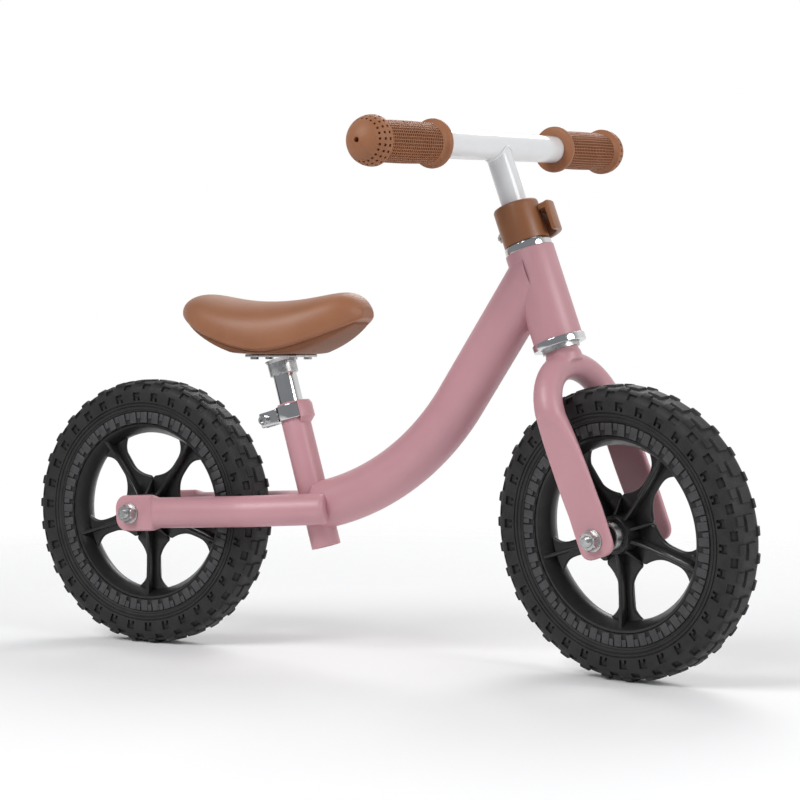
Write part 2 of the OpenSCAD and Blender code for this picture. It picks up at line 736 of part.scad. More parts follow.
module front_bearing_balls() { at_front() balls_shape(); }
module front_tyre() { at_front() tyre_shape(); }
module front_rim() { at_front() rim_shape(); }
module front_hub_sleeve() { at_front() sleeve_shape(); }
module front_outer_races() { at_front() outer_races_shape(); }
module front_bearing_seals() { at_front() seals_shape(); }

// ---- clamping collar and its lever ----
ear_t = 7;
ear_h = 22;
ear_out = 36;
eye_r = 5;
module in_ears() {
    in_fork() rotate([0, 0, ear_turn]) translate([0, 0, lever_foot + lever_h / 2]) children();
}
module clamp_collar() {
    recess_turn = 8;
    color(brown) difference() {
        union() {
            in_fork() translate([0, 0, collar_foot]) cylinder(r = collar_r, h = collar_h - 3);
            in_fork() translate([0, 0, collar_top - 3])
                rotate_extrude() polygon([[0, 0], [collar_r, 0], [collar_r - 0.6, 1.6],
                                          [collar_r - 2.6, 3], [0, 3]]);
            in_ears() for (s = [-1, 1]) translate([0, s * (slit_w + ear_t) / 2, 0])
                translate([ear_out / 2, 0, 0]) cube([ear_out, ear_t, ear_h], center = true);
        }
        in_fork() translate([0, 0, collar_foot - cut]) cylinder(r = collar_bore, h = collar_h + 2 * cut);
        in_fork() rotate([0, 0, ear_turn]) translate([0, -slit_w / 2, collar_foot - cut])
            cube([ear_out + cut, slit_w, collar_h + 2 * cut]);
        in_ears() translate([bolt_out, ear_out, 0]) across() cylinder(r = pin_r + fit_gap, h = 2 * ear_out);
        in_fork() rotate([0, 0, recess_turn]) translate([collar_r, 0, lever_foot + 12])
            cube([9, 17, 20], center = true);
    }
}
nut_side = -slit_w / 2 - ear_t;
module clamp_eye_bolt() {
    color(steel) in_ears() difference() {
        union() {
            translate([bolt_out, -pin_side, 0]) cylinder(r = eye_r, h = 8, center = true);
            translate([bolt_out, -nut_side + 7, 0]) across()
                cylinder(r = pin_r, h = pin_side - nut_side + 7 - pin_r - 1);
        }
        translate([bolt_out, -pin_side, 0]) cylinder(r = pin_r + fit_gap, h = 9, center = true);
    }
}
module clamp_nut() {
    color(steel) in_ears() translate([bolt_out, -nut_side + 5, 0]) across() difference() {
        cylinder(r = 5.2, h = 5, $fn = 6);
        translate([0, 0, -cut]) cylinder(r = pin_r + fit_gap, h = 5 + 2 * cut);
    }
}
module lever_pin() {
    color(steel) in_ears() translate([bolt_out, -pin_side, 0]) cylinder(r = pin_r, h = 20, center = true);
}
lever_pivot_turn = ear_turn - atan2(pin_side, bolt_out);
lever_pivot_r = norm([pin_side, bolt_out]);
module clamp_lever() {
    tip_turn = 4;
    root_turn = lever_pivot_turn - 12;
    lip_end = 70;
    cheek_h = 6;
    boss_r = 6;
    wall_in = lever_r - lever_t;
    color(brown) in_fork() difference() {
        union() {
            translate([0, 0, lever_foot]) rotate([0, 0, tip_turn])
                rotate_extrude(angle = root_turn - tip_turn)
                translate([wall_in, 0]) square([lever_t, lever_h]);
            translate([0, 0, lever_foot + lever_h - 6]) rotate([0, 0, tip_turn + 1])
                rotate_extrude(angle = lip_end - tip_turn)
                translate([collar_r + 1, 0]) square([lever_r - collar_r - 2, 5]);
            rotate([0, 0, lever_pivot_turn]) for (z = [-cheek_h - 4.3, 4.3])
                translate([lever_pivot_r, 0, lever_foot + lever_h / 2 + z]) {
                    cylinder(r = boss_r, h = cheek_h);
                    translate([-1.5, -9, 0]) cube([4, 9, cheek_h]);
                }
        }
        rotate([0, 0, lever_pivot_turn]) translate([lever_pivot_r, 0, lever_foot - cut])
            cylinder(r = pin_r + fit_gap, h = lever_h + 2 * cut);
    }
}

// ---- handlebar ----
module handlebar_bar() {
    half = bar_half - 8;
    color("white") in_bar() difference() {
        across() cylinder(d = bar_d, h = 2 * half, center = true);
        across() cylinder(d = bar_d - 2 * bar_wall, h = 2 * half + cut, center = true);
    }
}
module handlebar_stem() {
    color("white") in_bar() difference() {
        translate([0, 0, -stem_l]) cylinder(d = stem_d, h = stem_l);
        translate([0, 0, -stem_l - cut]) cylinder(d = stem_d - 2 * bar_wall, h = stem_l + cut);
        across() cylinder(d = bar_d, h = 2 * stem_l, center = true);
    }
}
module grip() {
    foot = bar_half - grip_l;
    ball = bar_half - grip_end_r;
    color(brown) difference() {
        union() {
            side_ring(grip_end_r, 1, foot, grip_flange_t);
            side_ring(grip_r, 1, foot, ball - foot);
            translate([0, ball, 0]) sphere(r = grip_end_r, $fn = 64);
        }
        translate([0, bar_half - 8, 0]) across() cylinder(d = bar_d, h = grip_l);
        translate([0, bar_half + cut, 0]) across() cylinder(r = 2.5, h = 12);
    }
}
module grip_left() { in_bar() grip(); }
module grip_right() { in_bar() mirror([0, 1, 0]) grip(); }

// ---- seat ----
module seat_post() {
    color(steel) in_seat() translate([0, 0, post_foot]) ring(post_d / 2, post_d / 2 - 2, post_top - post_foot);
}
module at_bracket() { placed() translate([post_top_x, 0, bracket_z]) children(); }
module saddle_bracket() {
    cup_wall = 2.5;
    color(steel) {
        difference() {
            in_seat() translate([0, 0, post_top - bracket_cup_h])
                ring(post_d / 2 + cup_wall, post_d / 2, bracket_cup_h + 8);
            at_bracket() translate([0, 0, 25 + bracket_t / 2]) cube([bracket_l, bracket_w, 50], center = true);
        }
        difference() {
            at_bracket() translate([0, 0, bracket_t / 2]) cube([bracket_l, bracket_w, bracket_t], center = true);
            screw_places(screw_r + fit_gap, -cut, bracket_t + cut);
        }
    }
}
// A cylinder at each of the saddle's four screws, between two heights above the bracket's foot
module screw_places(r, from, to) {
    at_bracket() for (x = [-24, 24]) for (y = [-15, 15])
        translate([x, y, from]) cylinder(r = r, h = to - from);
}
// Along the saddle from tail (0) to nose (1): half width, lower edge and top
function saddle_wide(s) = saddle_half_w * (1 - 0.45 * pow(s, 1.3))
    * pow(max(0, 1 - pow(abs(2 * s - 1), 5)), 0.5) + 2;
function saddle_edge(s) = saddle_low_z + 30 * pow(abs(s - 0.47) / 0.5, 2.2);
function saddle_top(s) = saddle_low_z + saddle_rise + 13 * pow(abs(s - 0.48) / 0.4, 2)
    - 42 * pow(abs(2 * s - 1), 9);
saddle_steps = 22;
function saddle_share(i) = 0.01 + 0.98 * (1 - cos(180 * i / saddle_steps)) / 2;
// Across the saddle: a crowned outline from the left edge over the top to the right edge
function saddle_row(s) = let (sides = 20, w = saddle_wide(s), low = saddle_edge(s),
                              top = max(low + 2, saddle_top(s)))
    [for (k = [0 : sides - 1]) let (a = 180 * k / (sides - 1))
        [saddle_tail_x + saddle_l * s, w * cos(a), low + (top - low) * pow(sin(a), 0.55)]];
function pan_row(s) = let (x = saddle_tail_x + saddle_l * s, w = saddle_wide(s) - 9,
                           low = saddle_edge(s))
    [[x, w, low], [x, -w, low], [x, -w + pan_t, low - pan_t], [x, w - pan_t, low - pan_t]];
module saddle_cover() {
    color(brown) placed() skin([for (i = [saddle_steps : -1 : 0]) saddle_row(saddle_share(i))]);
}
module saddle_base() {
    color(black) difference() {
        placed() skin([for (i = [saddle_steps - 2 : -1 : 2]) pan_row(saddle_share(i))]);
        screw_places(screw_r + fit_gap, bracket_t - cut, screw_top);
    }
}
module saddle_screws() {
    head_t = 2.5;
    color(steel) {
        screw_places(screw_r, -eps, screw_top - fit_gap);
        screw_places(4.5, -head_t, 0);
    }
}

head_tube();
main_tube();
seat_tube();
chainstay_left();
chainstay_right();
upper_headset_cup();
lower_headset_cup();
seat_clamp_band();
seat_clamp_bolt();
seat_clamp_nut();
rear_axle();
rear_axle_nuts();
rear_axle_washers();
rear_axle_spacers();
rear_inner_races();
rear_bearing_balls();
rear_tyre();
rear_rim();
rear_hub_sleeve();
rear_outer_races();
rear_bearing_seals();
steerer_tube();
fork_crown();
fork_leg_left();
fork_leg_right();
headset_cones();
headset_balls();
front_axle();
front_axle_nuts();
front_axle_washers();
front_axle_spacers();
front_inner_races();
front_bearing_balls();
clamp_collar();
clamp_eye_bolt();
clamp_nut();
lever_pin();
front_tyre();
front_rim();
front_hub_sleeve();
front_outer_races();
front_bearing_seals();
clamp_lever();
handlebar_bar();
handlebar_stem();
grip_left();
grip_right();
seat_post();
saddle_bracket();
saddle_base();
saddle_cover();
saddle_screws();
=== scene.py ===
import json
import math

import bmesh
import bpy
from mathutils import Matrix, Vector


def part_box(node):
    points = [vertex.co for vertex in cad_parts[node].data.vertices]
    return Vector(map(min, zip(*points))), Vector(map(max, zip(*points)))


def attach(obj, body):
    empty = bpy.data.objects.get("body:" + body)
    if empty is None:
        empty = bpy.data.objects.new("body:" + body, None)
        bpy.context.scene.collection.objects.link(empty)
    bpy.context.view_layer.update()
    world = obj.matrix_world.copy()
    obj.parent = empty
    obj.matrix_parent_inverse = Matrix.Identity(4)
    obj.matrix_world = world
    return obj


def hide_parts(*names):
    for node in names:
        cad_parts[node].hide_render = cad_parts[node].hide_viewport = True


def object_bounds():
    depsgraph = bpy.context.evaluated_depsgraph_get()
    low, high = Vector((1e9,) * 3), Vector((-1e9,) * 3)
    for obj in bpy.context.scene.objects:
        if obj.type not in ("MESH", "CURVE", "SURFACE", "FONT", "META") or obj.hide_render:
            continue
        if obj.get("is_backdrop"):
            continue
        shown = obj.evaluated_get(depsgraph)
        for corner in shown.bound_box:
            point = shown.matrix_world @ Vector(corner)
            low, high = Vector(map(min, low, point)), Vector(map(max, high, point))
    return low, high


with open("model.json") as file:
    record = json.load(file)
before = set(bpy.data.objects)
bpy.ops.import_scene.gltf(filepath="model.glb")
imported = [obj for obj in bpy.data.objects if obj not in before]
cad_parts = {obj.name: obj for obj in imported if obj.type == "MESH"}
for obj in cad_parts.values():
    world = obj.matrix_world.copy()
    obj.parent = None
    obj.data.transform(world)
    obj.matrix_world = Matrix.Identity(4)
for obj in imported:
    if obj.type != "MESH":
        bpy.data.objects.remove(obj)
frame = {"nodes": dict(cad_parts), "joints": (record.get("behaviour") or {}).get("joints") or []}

scene = bpy.context.scene
scene.view_settings.view_transform = "Standard"
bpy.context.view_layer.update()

# ---- Studio ----
# The bike stands on a pale floor that fades into a white studio. A big soft lamp hangs to the
# left in front of it, a weaker one to the right, and one above and behind picks out the edges.
# The camera looks from the bike's right side and a little from the front, at wheel height.

floor_material = bpy.data.materials.new("studio_floor")
floor_material.use_nodes = True
floor_shader = floor_material.node_tree.nodes["Principled BSDF"]
floor_shader.inputs["Base Color"].default_value = (0.93, 0.93, 0.93, 1)
floor_shader.inputs["Roughness"].default_value = 0.9
floor_shader.inputs["Specular IOR Level"].default_value = 0.1
floor_nodes, floor_links = floor_material.node_tree.nodes, floor_material.node_tree.links
floor_way = floor_nodes.new("ShaderNodeTexCoord")
floor_reach = floor_nodes.new("ShaderNodeVectorMath")
floor_reach.operation = "LENGTH"
floor_fade = floor_nodes.new("ShaderNodeMapRange")
for key, value in (("From Min", 0.7), ("From Max", 1.5), ("To Min", 1.0), ("To Max", 0.0)):
    floor_fade.inputs[key].default_value = value
floor_links.new(floor_way.outputs["Object"], floor_reach.inputs[0])
floor_links.new(floor_reach.outputs["Value"], floor_fade.inputs["Value"])
floor_links.new(floor_fade.outputs["Result"], floor_shader.inputs["Alpha"])

floor_bm = bmesh.new()
bmesh.ops.create_grid(floor_bm, x_segments=1, y_segments=1, size=14)
floor_mesh = bpy.data.meshes.new("studio_floor")
floor_bm.to_mesh(floor_mesh)
floor_bm.free()
floor_mesh.materials.append(floor_material)
floor = bpy.data.objects.new("studio_floor", floor_mesh)
scene.collection.objects.link(floor)
floor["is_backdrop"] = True

# The sky is white where it is seen, and darker low down where polished metal mirrors it.
sky = bpy.data.worlds.new("studio_sky")
scene.world = sky
sky.use_nodes = True
sky_nodes, sky_links = sky.node_tree.nodes, sky.node_tree.links
sky_glow = sky_nodes["Background"]
sky_glow.inputs["Strength"].default_value = 0.80
sky_way = sky_nodes.new("ShaderNodeTexCoord")
sky_split = sky_nodes.new("ShaderNodeSeparateXYZ")
sky_ramp = sky_nodes.new("ShaderNodeValToRGB")
sky_links.new(sky_way.outputs["Generated"], sky_split.inputs[0])
sky_links.new(sky_split.outputs["Y"], sky_ramp.inputs[0])
sky_ramp.color_ramp.elements[0].color = (0.30, 0.31, 0.33, 1)
sky_ramp.color_ramp.elements[0].position = 0.0
sky_ramp.color_ramp.elements[1].color = (1, 1, 1, 1)
sky_ramp.color_ramp.elements[1].position = 0.55
sky_white = sky_nodes.new("ShaderNodeBackground")
sky_white.inputs["Color"].default_value = (1, 1, 1, 1)
sky_white.inputs["Strength"].default_value = 1.0
sky_ray = sky_nodes.new("ShaderNodeLightPath")
sky_mix = sky_nodes.new("ShaderNodeMixShader")
sky_links.new(sky_ramp.outputs["Color"], sky_glow.inputs["Color"])
sky_links.new(sky_ray.outputs["Is Camera Ray"], sky_mix.inputs[0])
sky_links.new(sky_glow.outputs[0], sky_mix.inputs[1])
sky_links.new(sky_white.outputs[0], sky_mix.inputs[2])
sky_links.new(sky_mix.outputs[0], sky_nodes["World Output"].inputs["Surface"])


def soft_lamp(name, spot, size, power):
    lamp = bpy.data.lights.new(name, "AREA")
    lamp.shape = "DISK"
    lamp.size = size
    lamp.energy = power
    holder = bpy.data.objects.new(name, lamp)
    holder.location = spot
    holder.rotation_mode = "QUATERNION"
    holder.rotation_quaternion = (Vector((0, 0, 0.25)) - Vector(spot)).to_track_quat("-Z", "Y")
    scene.collection.objects.link(holder)


soft_lamp("key_lamp", (-0.9, -2.4, 2.3), 1.7, 60)
soft_lamp("side_lamp", (2.6, -0.5, 1.3), 1.5, 30)
soft_lamp("back_lamp", (-0.4, 2.2, 2.2), 1.6, 26)

camera = bpy.data.cameras.new("camera")
camera.lens = 89.1
camera.sensor_width = 36
camera.clip_start, camera.clip_end = 0.05, 60
camera_holder = bpy.data.objects.new("camera", camera)
camera_holder.location = (0.9928, -1.8012, 0.3286)
camera_holder.rotation_mode = "QUATERNION"
camera_holder.rotation_quaternion = (
    Vector((0.0310, 0, 0.2711)) - camera_holder.location).to_track_quat("-Z", "Y")
scene.collection.objects.link(camera_holder)
scene.camera = camera_holder


# ---- Head tube ----
# A short wide steel tube that carries the headset. It is welded to the main tube's upper end
# and powder-coated with it in a satin dusty pink, which lies like very fine orange peel.

class Wire:
    """An output of a material's node. Arithmetic on it adds Math nodes."""

    def __init__(self, socket):
        self.socket = socket

    def node(self, kind, settings, inputs, out=0):
        """Adds a node: its settings first, then the value or wire of each input."""
        made = self.socket.id_data.nodes.new(kind)
        for key, value in settings.items():
            if key == "stops":
                ramp = made.color_ramp
                while len(ramp.elements) < len(value):
                    ramp.elements.new(0.5)
                for stop, (place, colour) in zip(ramp.elements, value):
                    stop.position = place
                    stop.color = (*colour, 1)
            else:
                setattr(made, key, value)
        for key, value in inputs.items():
            if isinstance(value, Wire):
                value.into(made.inputs[key])
            else:
                made.inputs[key].default_value = value
        return Wire(made.outputs[out])

    def into(self, socket):
        self.socket.id_data.links.new(self.socket, socket)

    def math(self, operation, *values):
        return self.node("ShaderNodeMath", {"operation": operation}, dict(enumerate(values)))

    def __add__(self, other):
        return self.math("ADD", self, other)

    def __radd__(self, other):
        return self.math("ADD", other, self)

    def __sub__(self, other):
        return self.math("SUBTRACT", self, other)

    def __rsub__(self, other):
        return self.math("SUBTRACT", other, self)

    def __mul__(self, other):
        return self.math("MULTIPLY", self, other)

    def __rmul__(self, other):
        return self.math("MULTIPLY", other, self)

    def noise(self, scale, detail=3.0):
        """A cloudy value from 0 to 1, in patches of about 1/scale metres."""
        return self.node("ShaderNodeTexNoise", {},
                         {"Vector": self, "Scale": scale, "Detail": detail})

    def blend(self, low, high):
        """The colour `low` where this is 0 and `high` where it is 1."""
        return self.node("ShaderNodeMix", {"data_type": "RGBA"},
                         {0: self, 6: (*low, 1), 7: (*high, 1)}, 2)

    def spread(self, low, high):
        """Stretches a cloudy value's middle to the range from low to high."""
        return self.node("ShaderNodeMapRange", {}, {0: self, 1: 0.3, 2: 0.7, 3: low, 4: high})


def new_finish(name, **constants):
    """A material, its shader's inputs, and the place on the piece in metres."""
    finish = bpy.data.materials.new(name)
    finish.use_nodes = True
    shader = finish.node_tree.nodes["Principled BSDF"]
    for key, value in constants.items():
        shader.inputs[key.replace("_", " ")].default_value = value
    coordinates = finish.node_tree.nodes.new("ShaderNodeTexCoord")
    return finish, shader.inputs, Wire(coordinates.outputs["Object"])


def raise_by(height, shader, depth, strength=1.0):
    """Bumps the surface by `height` (0 to 1) times depth in metres."""
    height.node("ShaderNodeBump", {},
                {"Height": height, "Distance": depth, "Strength": strength}
                ).into(shader["Normal"])


def mottled(name, low, high, patch, rough, bump, **constants):
    """A finish whose colour, roughness and bump each follow a noise of (scale, detail, ...)."""
    finish, shader, place = new_finish(name, **constants)
    place.noise(*patch).spread(0, 1).blend(low, high).into(shader["Base Color"])
    place.noise(*rough[:2]).spread(*rough[2:]).into(shader["Roughness"])
    raise_by(place.noise(*bump[:2]), shader, bump[2])
    return finish


pink_paint, shader, place = new_finish("pink_powder_coat", Coat_Weight=0.25, Coat_Roughness=0.35)
cloud = place.noise(16, 2)
cloud.spread(0, 1).blend((0.545, 0.272, 0.305), (0.580, 0.296, 0.330)).into(shader["Base Color"])
(place.noise(420, 2).spread(0.34, 0.44) + cloud * 0.05).into(shader["Roughness"])
raise_by(place.noise(750, 2), shader, 0.00009)

joints = {joint["name"]: joint for joint in frame["joints"]}
steer_up = Vector(joints["steering"]["axis"])
steer_foot = Vector(joints["steering"]["pos_m"])


def placed_at(spot, along_x, along_y, along_z):
    """The matrix that carries a shape from its own axes to the bike's."""
    turn = Matrix((along_x, along_y, along_z)).transposed().to_4x4()
    return Matrix.Translation(spot) @ turn


head_place = placed_at(steer_foot, Vector((steer_up.z, 0, -steer_up.x)), Vector((0, 1, 0)),
                       steer_up)


def lathe(bm, outline, rounding=0.0, steps=96, closed=True):
    """Spins an outline of (radius, height) round Z, its corners rounded."""
    corners = [bm.verts.new((radius, 0, height)) for radius, height in outline]
    pairs = list(zip(corners, corners[1:]))
    if closed:
        pairs.append((corners[-1], corners[0]))
    edges = [bm.edges.new(pair) for pair in pairs]
    if rounding:
        old = set(bm.verts) - set(corners)
        bmesh.ops.bevel(bm, geom=corners, offset=rounding, segments=3, profile=0.5,
                        affect="VERTICES", material=-1)
        corners = [vert for vert in bm.verts if vert not in old]
        edges = list({edge for vert in corners for edge in vert.link_edges})
    bmesh.ops.spin(bm, geom=corners + edges, cent=(0, 0, 0), axis=(0, 0, 1), dvec=(0, 0, 0),
                   angle=2 * math.pi, steps=steps, use_merge=True)


def settle(bm, name, finish, body, slot, *nodes, place=Matrix.Identity(4), sharp=40):
    """Makes the piece from its bmesh, in place, hangs it on its body and hides the CAD parts."""
    bmesh.ops.remove_doubles(bm, verts=bm.verts, dist=0.000002)
    bmesh.ops.transform(bm, matrix=place, verts=bm.verts)
    bmesh.ops.recalc_face_normals(bm, faces=bm.faces)
    mesh = bpy.data.meshes.new(name)
    bm.to_mesh(mesh)
    bm.free()
    mesh.shade_smooth()
    mesh.set_sharp_from_angle(angle=math.radians(sharp))
    mesh.materials.append(finish)
    piece = bpy.data.objects.new(name, mesh)
    scene.collection.objects.link(piece)
    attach(piece, body)
    if nodes:
        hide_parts(*nodes)
    return piece


head_radius, head_foot, head_length = 0.0248, 0.2006, 0.0935
head_top = head_foot + head_length
bm = bmesh.new()
lathe(bm, [(head_radius - 0.0025, head_foot), (head_radius, head_foot),
           (head_radius, head_top), (head_radius - 0.0025, head_top)], 0.0005)
settle(bm, "head_tube_painted", pink_paint, "frame", "frame_paint", "head_tube",
       place=head_place)


# ---- Main tube ----
# One wide thin-walled steel tube, bent in a single sweep from the chainstays up to the head
# tube. Its top end is notched to the head tube and welded round, and painted with the frame.

def oval(middle, wide, deep, count=48):
    """Points round an oval with half axes `wide` and `deep`, its ends half round."""
    long, short = wide.length, deep.length
    points = []
    for number in range(count):
        angle = 2 * math.pi * (number + 0.5) / count
        along = math.copysign(long - short, math.cos(angle)) + short * math.cos(angle)
        points.append(middle + wide / long * along + deep * math.sin(angle))
    return points


def sweep(bm, outlines, shut=True):
    """Pulls a ring of edges through one outline after another, and shuts both ends."""
    circle = bmesh.ops.create_circle(bm, segments=len(outlines[0]), radius=1)["verts"]
    now = sorted(circle, key=lambda vert: math.atan2(vert.co.x, vert.co.y))
    rings = []
    for outline in outlines:
        if rings:
            edges = [bm.edges.get(pair) for pair in zip(now, now[1:] + now[:1])]
            pulled = bmesh.ops.extrude_edge_only(bm, edges=edges)["geom"]
            fresh = {item for item in pulled if isinstance(item, bmesh.types.BMVert)}
            now = [next(edge.other_vert(vert) for edge in vert.link_edges
                        if edge.other_vert(vert) in fresh) for vert in now]
        for vert, point in zip(now, outline):
            vert.co = point
        rings.append(list(now))
    if shut:
        for ring in (rings[0], rings[-1]):
            bmesh.ops.contextual_create(
                bm, geom=[bm.edges.get(pair) for pair in zip(ring, ring[1:] + ring[:1])])
    return rings


rear_hub = Vector(joints["rear_wheel_spin"]["pos_m"])
seat_up = Vector(joints["seat_height"]["axis"])
seat_foot_x = rear_hub.x + 0.2535
seat_place = placed_at(Vector((seat_foot_x, 0, 0)), Vector((seat_up.z, 0, -seat_up.x)),
                       Vector((0, 1, 0)), seat_up)
main_radius, main_foot_height = 0.0255, 0.1575
main_low, main_high = math.radians(13.9), math.radians(56.9)
main_bend = 0.260
main_foot = Vector((seat_foot_x + main_foot_height * seat_up.x / seat_up.z, 0, main_foot_height))


def heading(angle):
    return Vector((math.cos(angle), 0, math.sin(angle)))


def across(angle):
    return Vector((-math.sin(angle), 0, math.cos(angle)))


def clear_of_post(bm):
    """Pushes all that lies in the seat tube's bore out into its wall, where it is hidden."""
    for vert in bm.verts:
        along = (vert.co.x - seat_foot_x) * seat_up.x + vert.co.z * seat_up.z
        out = vert.co - Vector((seat_foot_x, 0, 0)) - seat_up * along
        if out.length < in_wall:
            vert.co += out.normalized() * (in_wall - out.length)


in_wall = 0.0144
main_lead = main_foot + heading(main_low) * 0.015
bend_middle = main_lead + across(main_low) * main_bend
outlines = []
for share in (0.1, 0.3, 0.5, 0.7, 0.85):
    outlines.append(oval(main_foot + heading(main_low) * 0.0065,
                         Vector((0, main_radius * share, 0)),
                         across(main_low) * main_radius * share, 64))
for step in (0.0065, 0.0075, 0.0095, 0.015):
    shrink = {0.0065: 0.0012, 0.0075: 0.0004}.get(step, 0)
    outlines.append(oval(main_foot + heading(main_low) * step,
                         Vector((0, main_radius - shrink, 0)),
                         across(main_low) * (main_radius - shrink), 64))
for step in range(1, 37):
    angle = main_low + (main_high - main_low) * step / 36
    outlines.append(oval(bend_middle - across(angle) * main_bend, Vector((0, main_radius, 0)),
                         across(angle) * main_radius, 64))
main_top = bend_middle - across(main_high) * main_bend
to_head = (steer_foot - main_top).dot(head_place.col[0].to_3d())
rise = to_head / heading(main_high).dot(head_place.col[0].to_3d())


def meets_head(point, radius):
    """Slides a point along the main tube until it meets a cylinder round the head tube's line."""
    fore, left = head_place.col[0].to_3d(), Vector((0, 1, 0))
    start, move = point - steer_foot, heading(main_high)
    a = move.dot(fore) ** 2
    b = start.dot(fore) * move.dot(fore)
    c = start.dot(fore) ** 2 + start.dot(left) ** 2 - radius ** 2
    return point + move * ((-b - math.sqrt(max(0.0, b * b - a * c))) / a)


end_reach = head_radius - 0.0006
for share in (0.35, 0.6, 0.78):
    wide = main_radius - 0.0016 * share
    ring = oval(main_top + heading(main_high) * rise * share, Vector((0, wide, 0)),
                across(main_high) * main_radius, 64)
    outlines.append([min(point, meets_head(point, end_reach), key=heading(main_high).dot)
                     for point in ring])
end = oval(main_top + heading(main_high) * rise * 0.8, Vector((0, 0.0238, 0)),
           across(main_high) * main_radius, 64)
outlines.append([meets_head(point, end_reach) for point in end])
bm = bmesh.new()
sweep(bm, outlines, shut=False)
bmesh.ops.holes_fill(bm, edges=[edge for edge in bm.edges if edge.is_boundary
                                and edge.verts[0].co.x < 0], sides=0)
clear_of_post(bm)
settle(bm, "main_tube_painted", pink_paint, "frame", "frame_paint", "main_tube")


# ---- Seat tube ----
# A straight steel tube that runs through the frame's low joint and ends just below it. It is
# slit at the back for the clamp, and a small pressed stop is welded in front of the clamp band.

seat_radius, seat_tube_foot, seat_tube_top = 0.0155, 0.120, 0.277
clamp_top, clamp_height = seat_tube_top - 0.002, 0.016
bm = bmesh.new()
lathe(bm, [(seat_radius - 0.0027, seat_tube_foot), (seat_radius, seat_tube_foot),
           (seat_radius, seat_tube_top), (seat_radius - 0.0027, seat_tube_top)], 0.0006)
stop_in = seat_radius + 0.0032
profile = [(seat_radius - 0.001, clamp_top - clamp_height - 0.008),
           (stop_in + 0.0026, clamp_top - clamp_height - 0.0005),
           (stop_in + 0.0026, clamp_top - 0.0035), (stop_in + 0.0008, clamp_top + 0.001),
           (stop_in + 0.00005, clamp_top + 0.001),
           (stop_in + 0.00005, clamp_top - clamp_height - 0.0003),
           (seat_radius - 0.001, clamp_top - clamp_height - 0.0003)]
corners = [bm.verts.new((radius, 0, height)) for radius, height in profile]
bmesh.ops.rotate(bm, verts=corners, cent=(0, 0, 0), matrix=Matrix.Rotation(-0.73, 3, "Z"))
side = bm.faces.new(corners)
spun = bmesh.ops.spin(bm, geom=[side, *side.edges, *side.verts], cent=(0, 0, 0),
                      axis=(0, 0, 1), dvec=(0, 0, 0), angle=1.46, steps=20)
sides = [side] + [item for item in spun["geom_last"] if isinstance(item, bmesh.types.BMFace)]
rims = list({edge for face in sides for edge in face.edges})
bmesh.ops.bevel(bm, geom=rims, offset=0.0009, segments=3, profile=0.5, affect="EDGES",
                material=-1)
settle(bm, "seat_tube_painted", pink_paint, "frame", "frame_paint", "seat_tube",
       place=seat_place)


# ---- Chainstays ----
# Two round steel tubes that leave the low joint, swing outwards past the tyre and are pressed
# flat into plates for the rear axle. They are welded to the main tube and the seat tube.

stay_radius, stay_out, stay_in = 0.0165, 0.0435, 0.022
stay_front = Vector((main_foot.x + 0.022, 0, main_foot_height - 0.0005))
stay_slope = math.atan2(stay_front.z - rear_hub.z, stay_front.x - rear_hub.x)
stay_place = placed_at(stay_front, heading(stay_slope), Vector((0, 1, 0)), across(stay_slope))
stay_length = (stay_front.x - rear_hub.x) / math.cos(stay_slope)
stay_swing = math.atan2(stay_out - stay_in, 0.082)
plate_half_height, plate_half_thick, plate_at = 0.0195, 0.0025, 0.043


def stay_section(x, y, turn, half_high, half_thick):
    return oval(Vector((x, y, 0)), Vector((0, 0, half_high)),
                Vector((math.sin(turn), math.cos(turn), 0)) * half_thick, 48)


def plate_edge(depth, half, corner=0.012):
    """Half width of a flat end with rounded corners, `depth` inside its tail."""
    return half - corner + math.sqrt(max(0, corner ** 2 - max(0, corner - depth) ** 2))


outlines = []
for ahead, less in ((0.0034, 0.0060), (0.0030, 0.0036), (0.0018, 0.0014), (0.0, 0.0003),
                    (-0.002, 0.0)):
    outlines.append(stay_section(ahead, stay_in - ahead * math.tan(stay_swing), stay_swing,
                                 stay_radius - less + 0.00001, stay_radius - less))
for step in range(1, 18):
    behind = 0.002 + 0.0024 * step
    outlines.append(stay_section(-behind, stay_in + behind * math.tan(stay_swing), stay_swing,
                                 stay_radius + 0.00001, stay_radius))
elbow = 0.080
tangent = elbow * math.tan(stay_swing / 2)
for step in range(13):
    angle = stay_swing * (1 - step / 12)
    outlines.append(stay_section(-0.082 - tangent + elbow * math.sin(angle),
                                 stay_out - elbow * (1 - math.cos(angle)), angle,
                                 stay_radius + 0.00001, stay_radius))
for step in range(13):
    share = step / 12
    mix = (1 - math.cos(math.pi * share)) / 2
    outlines.append(stay_section(-stay_length + 0.027 + 0.013 * (1 - share),
                                 stay_out + (plate_at - stay_out) * mix, 0,
                                 stay_radius + 0.00001 + (plate_half_height - stay_radius) * mix,
                                 stay_radius + (plate_half_thick - stay_radius) * mix))
for step in range(9):
    depth = 0.012 * (1 - math.sin(math.pi / 2 * step / 8))
    outlines.append(stay_section(-stay_length - 0.018 + depth, plate_at, 0,
                                 plate_edge(depth, plate_half_height), plate_half_thick))
for side, side_name in ((1, "left"), (-1, "right")):
    bm = bmesh.new()
    sweep(bm, outlines)
    bmesh.ops.transform(bm, matrix=Matrix.Diagonal((1, side, 1, 1)) @ stay_place,
                        verts=bm.verts)
    clear_of_post(bm)
    settle(bm, "chainstay_" + side_name + "_painted", pink_paint, "frame", "frame_paint",
           "chainstay_" + side_name)


# ---- Headset rings ----
# Two pressed steel cups, chrome-plated, that hold the ball races in the head tube's ends. The
# lower one is the wider, and both show as a narrow bright ring.

bright_chrome = mottled("bright_chrome", (0.70, 0.71, 0.72), (0.80, 0.80, 0.80),
                        patch=(35, 2), rough=(260, 3, 0.05, 0.13), bump=(120, 2, 0.00004),
                        Metallic=1.0)

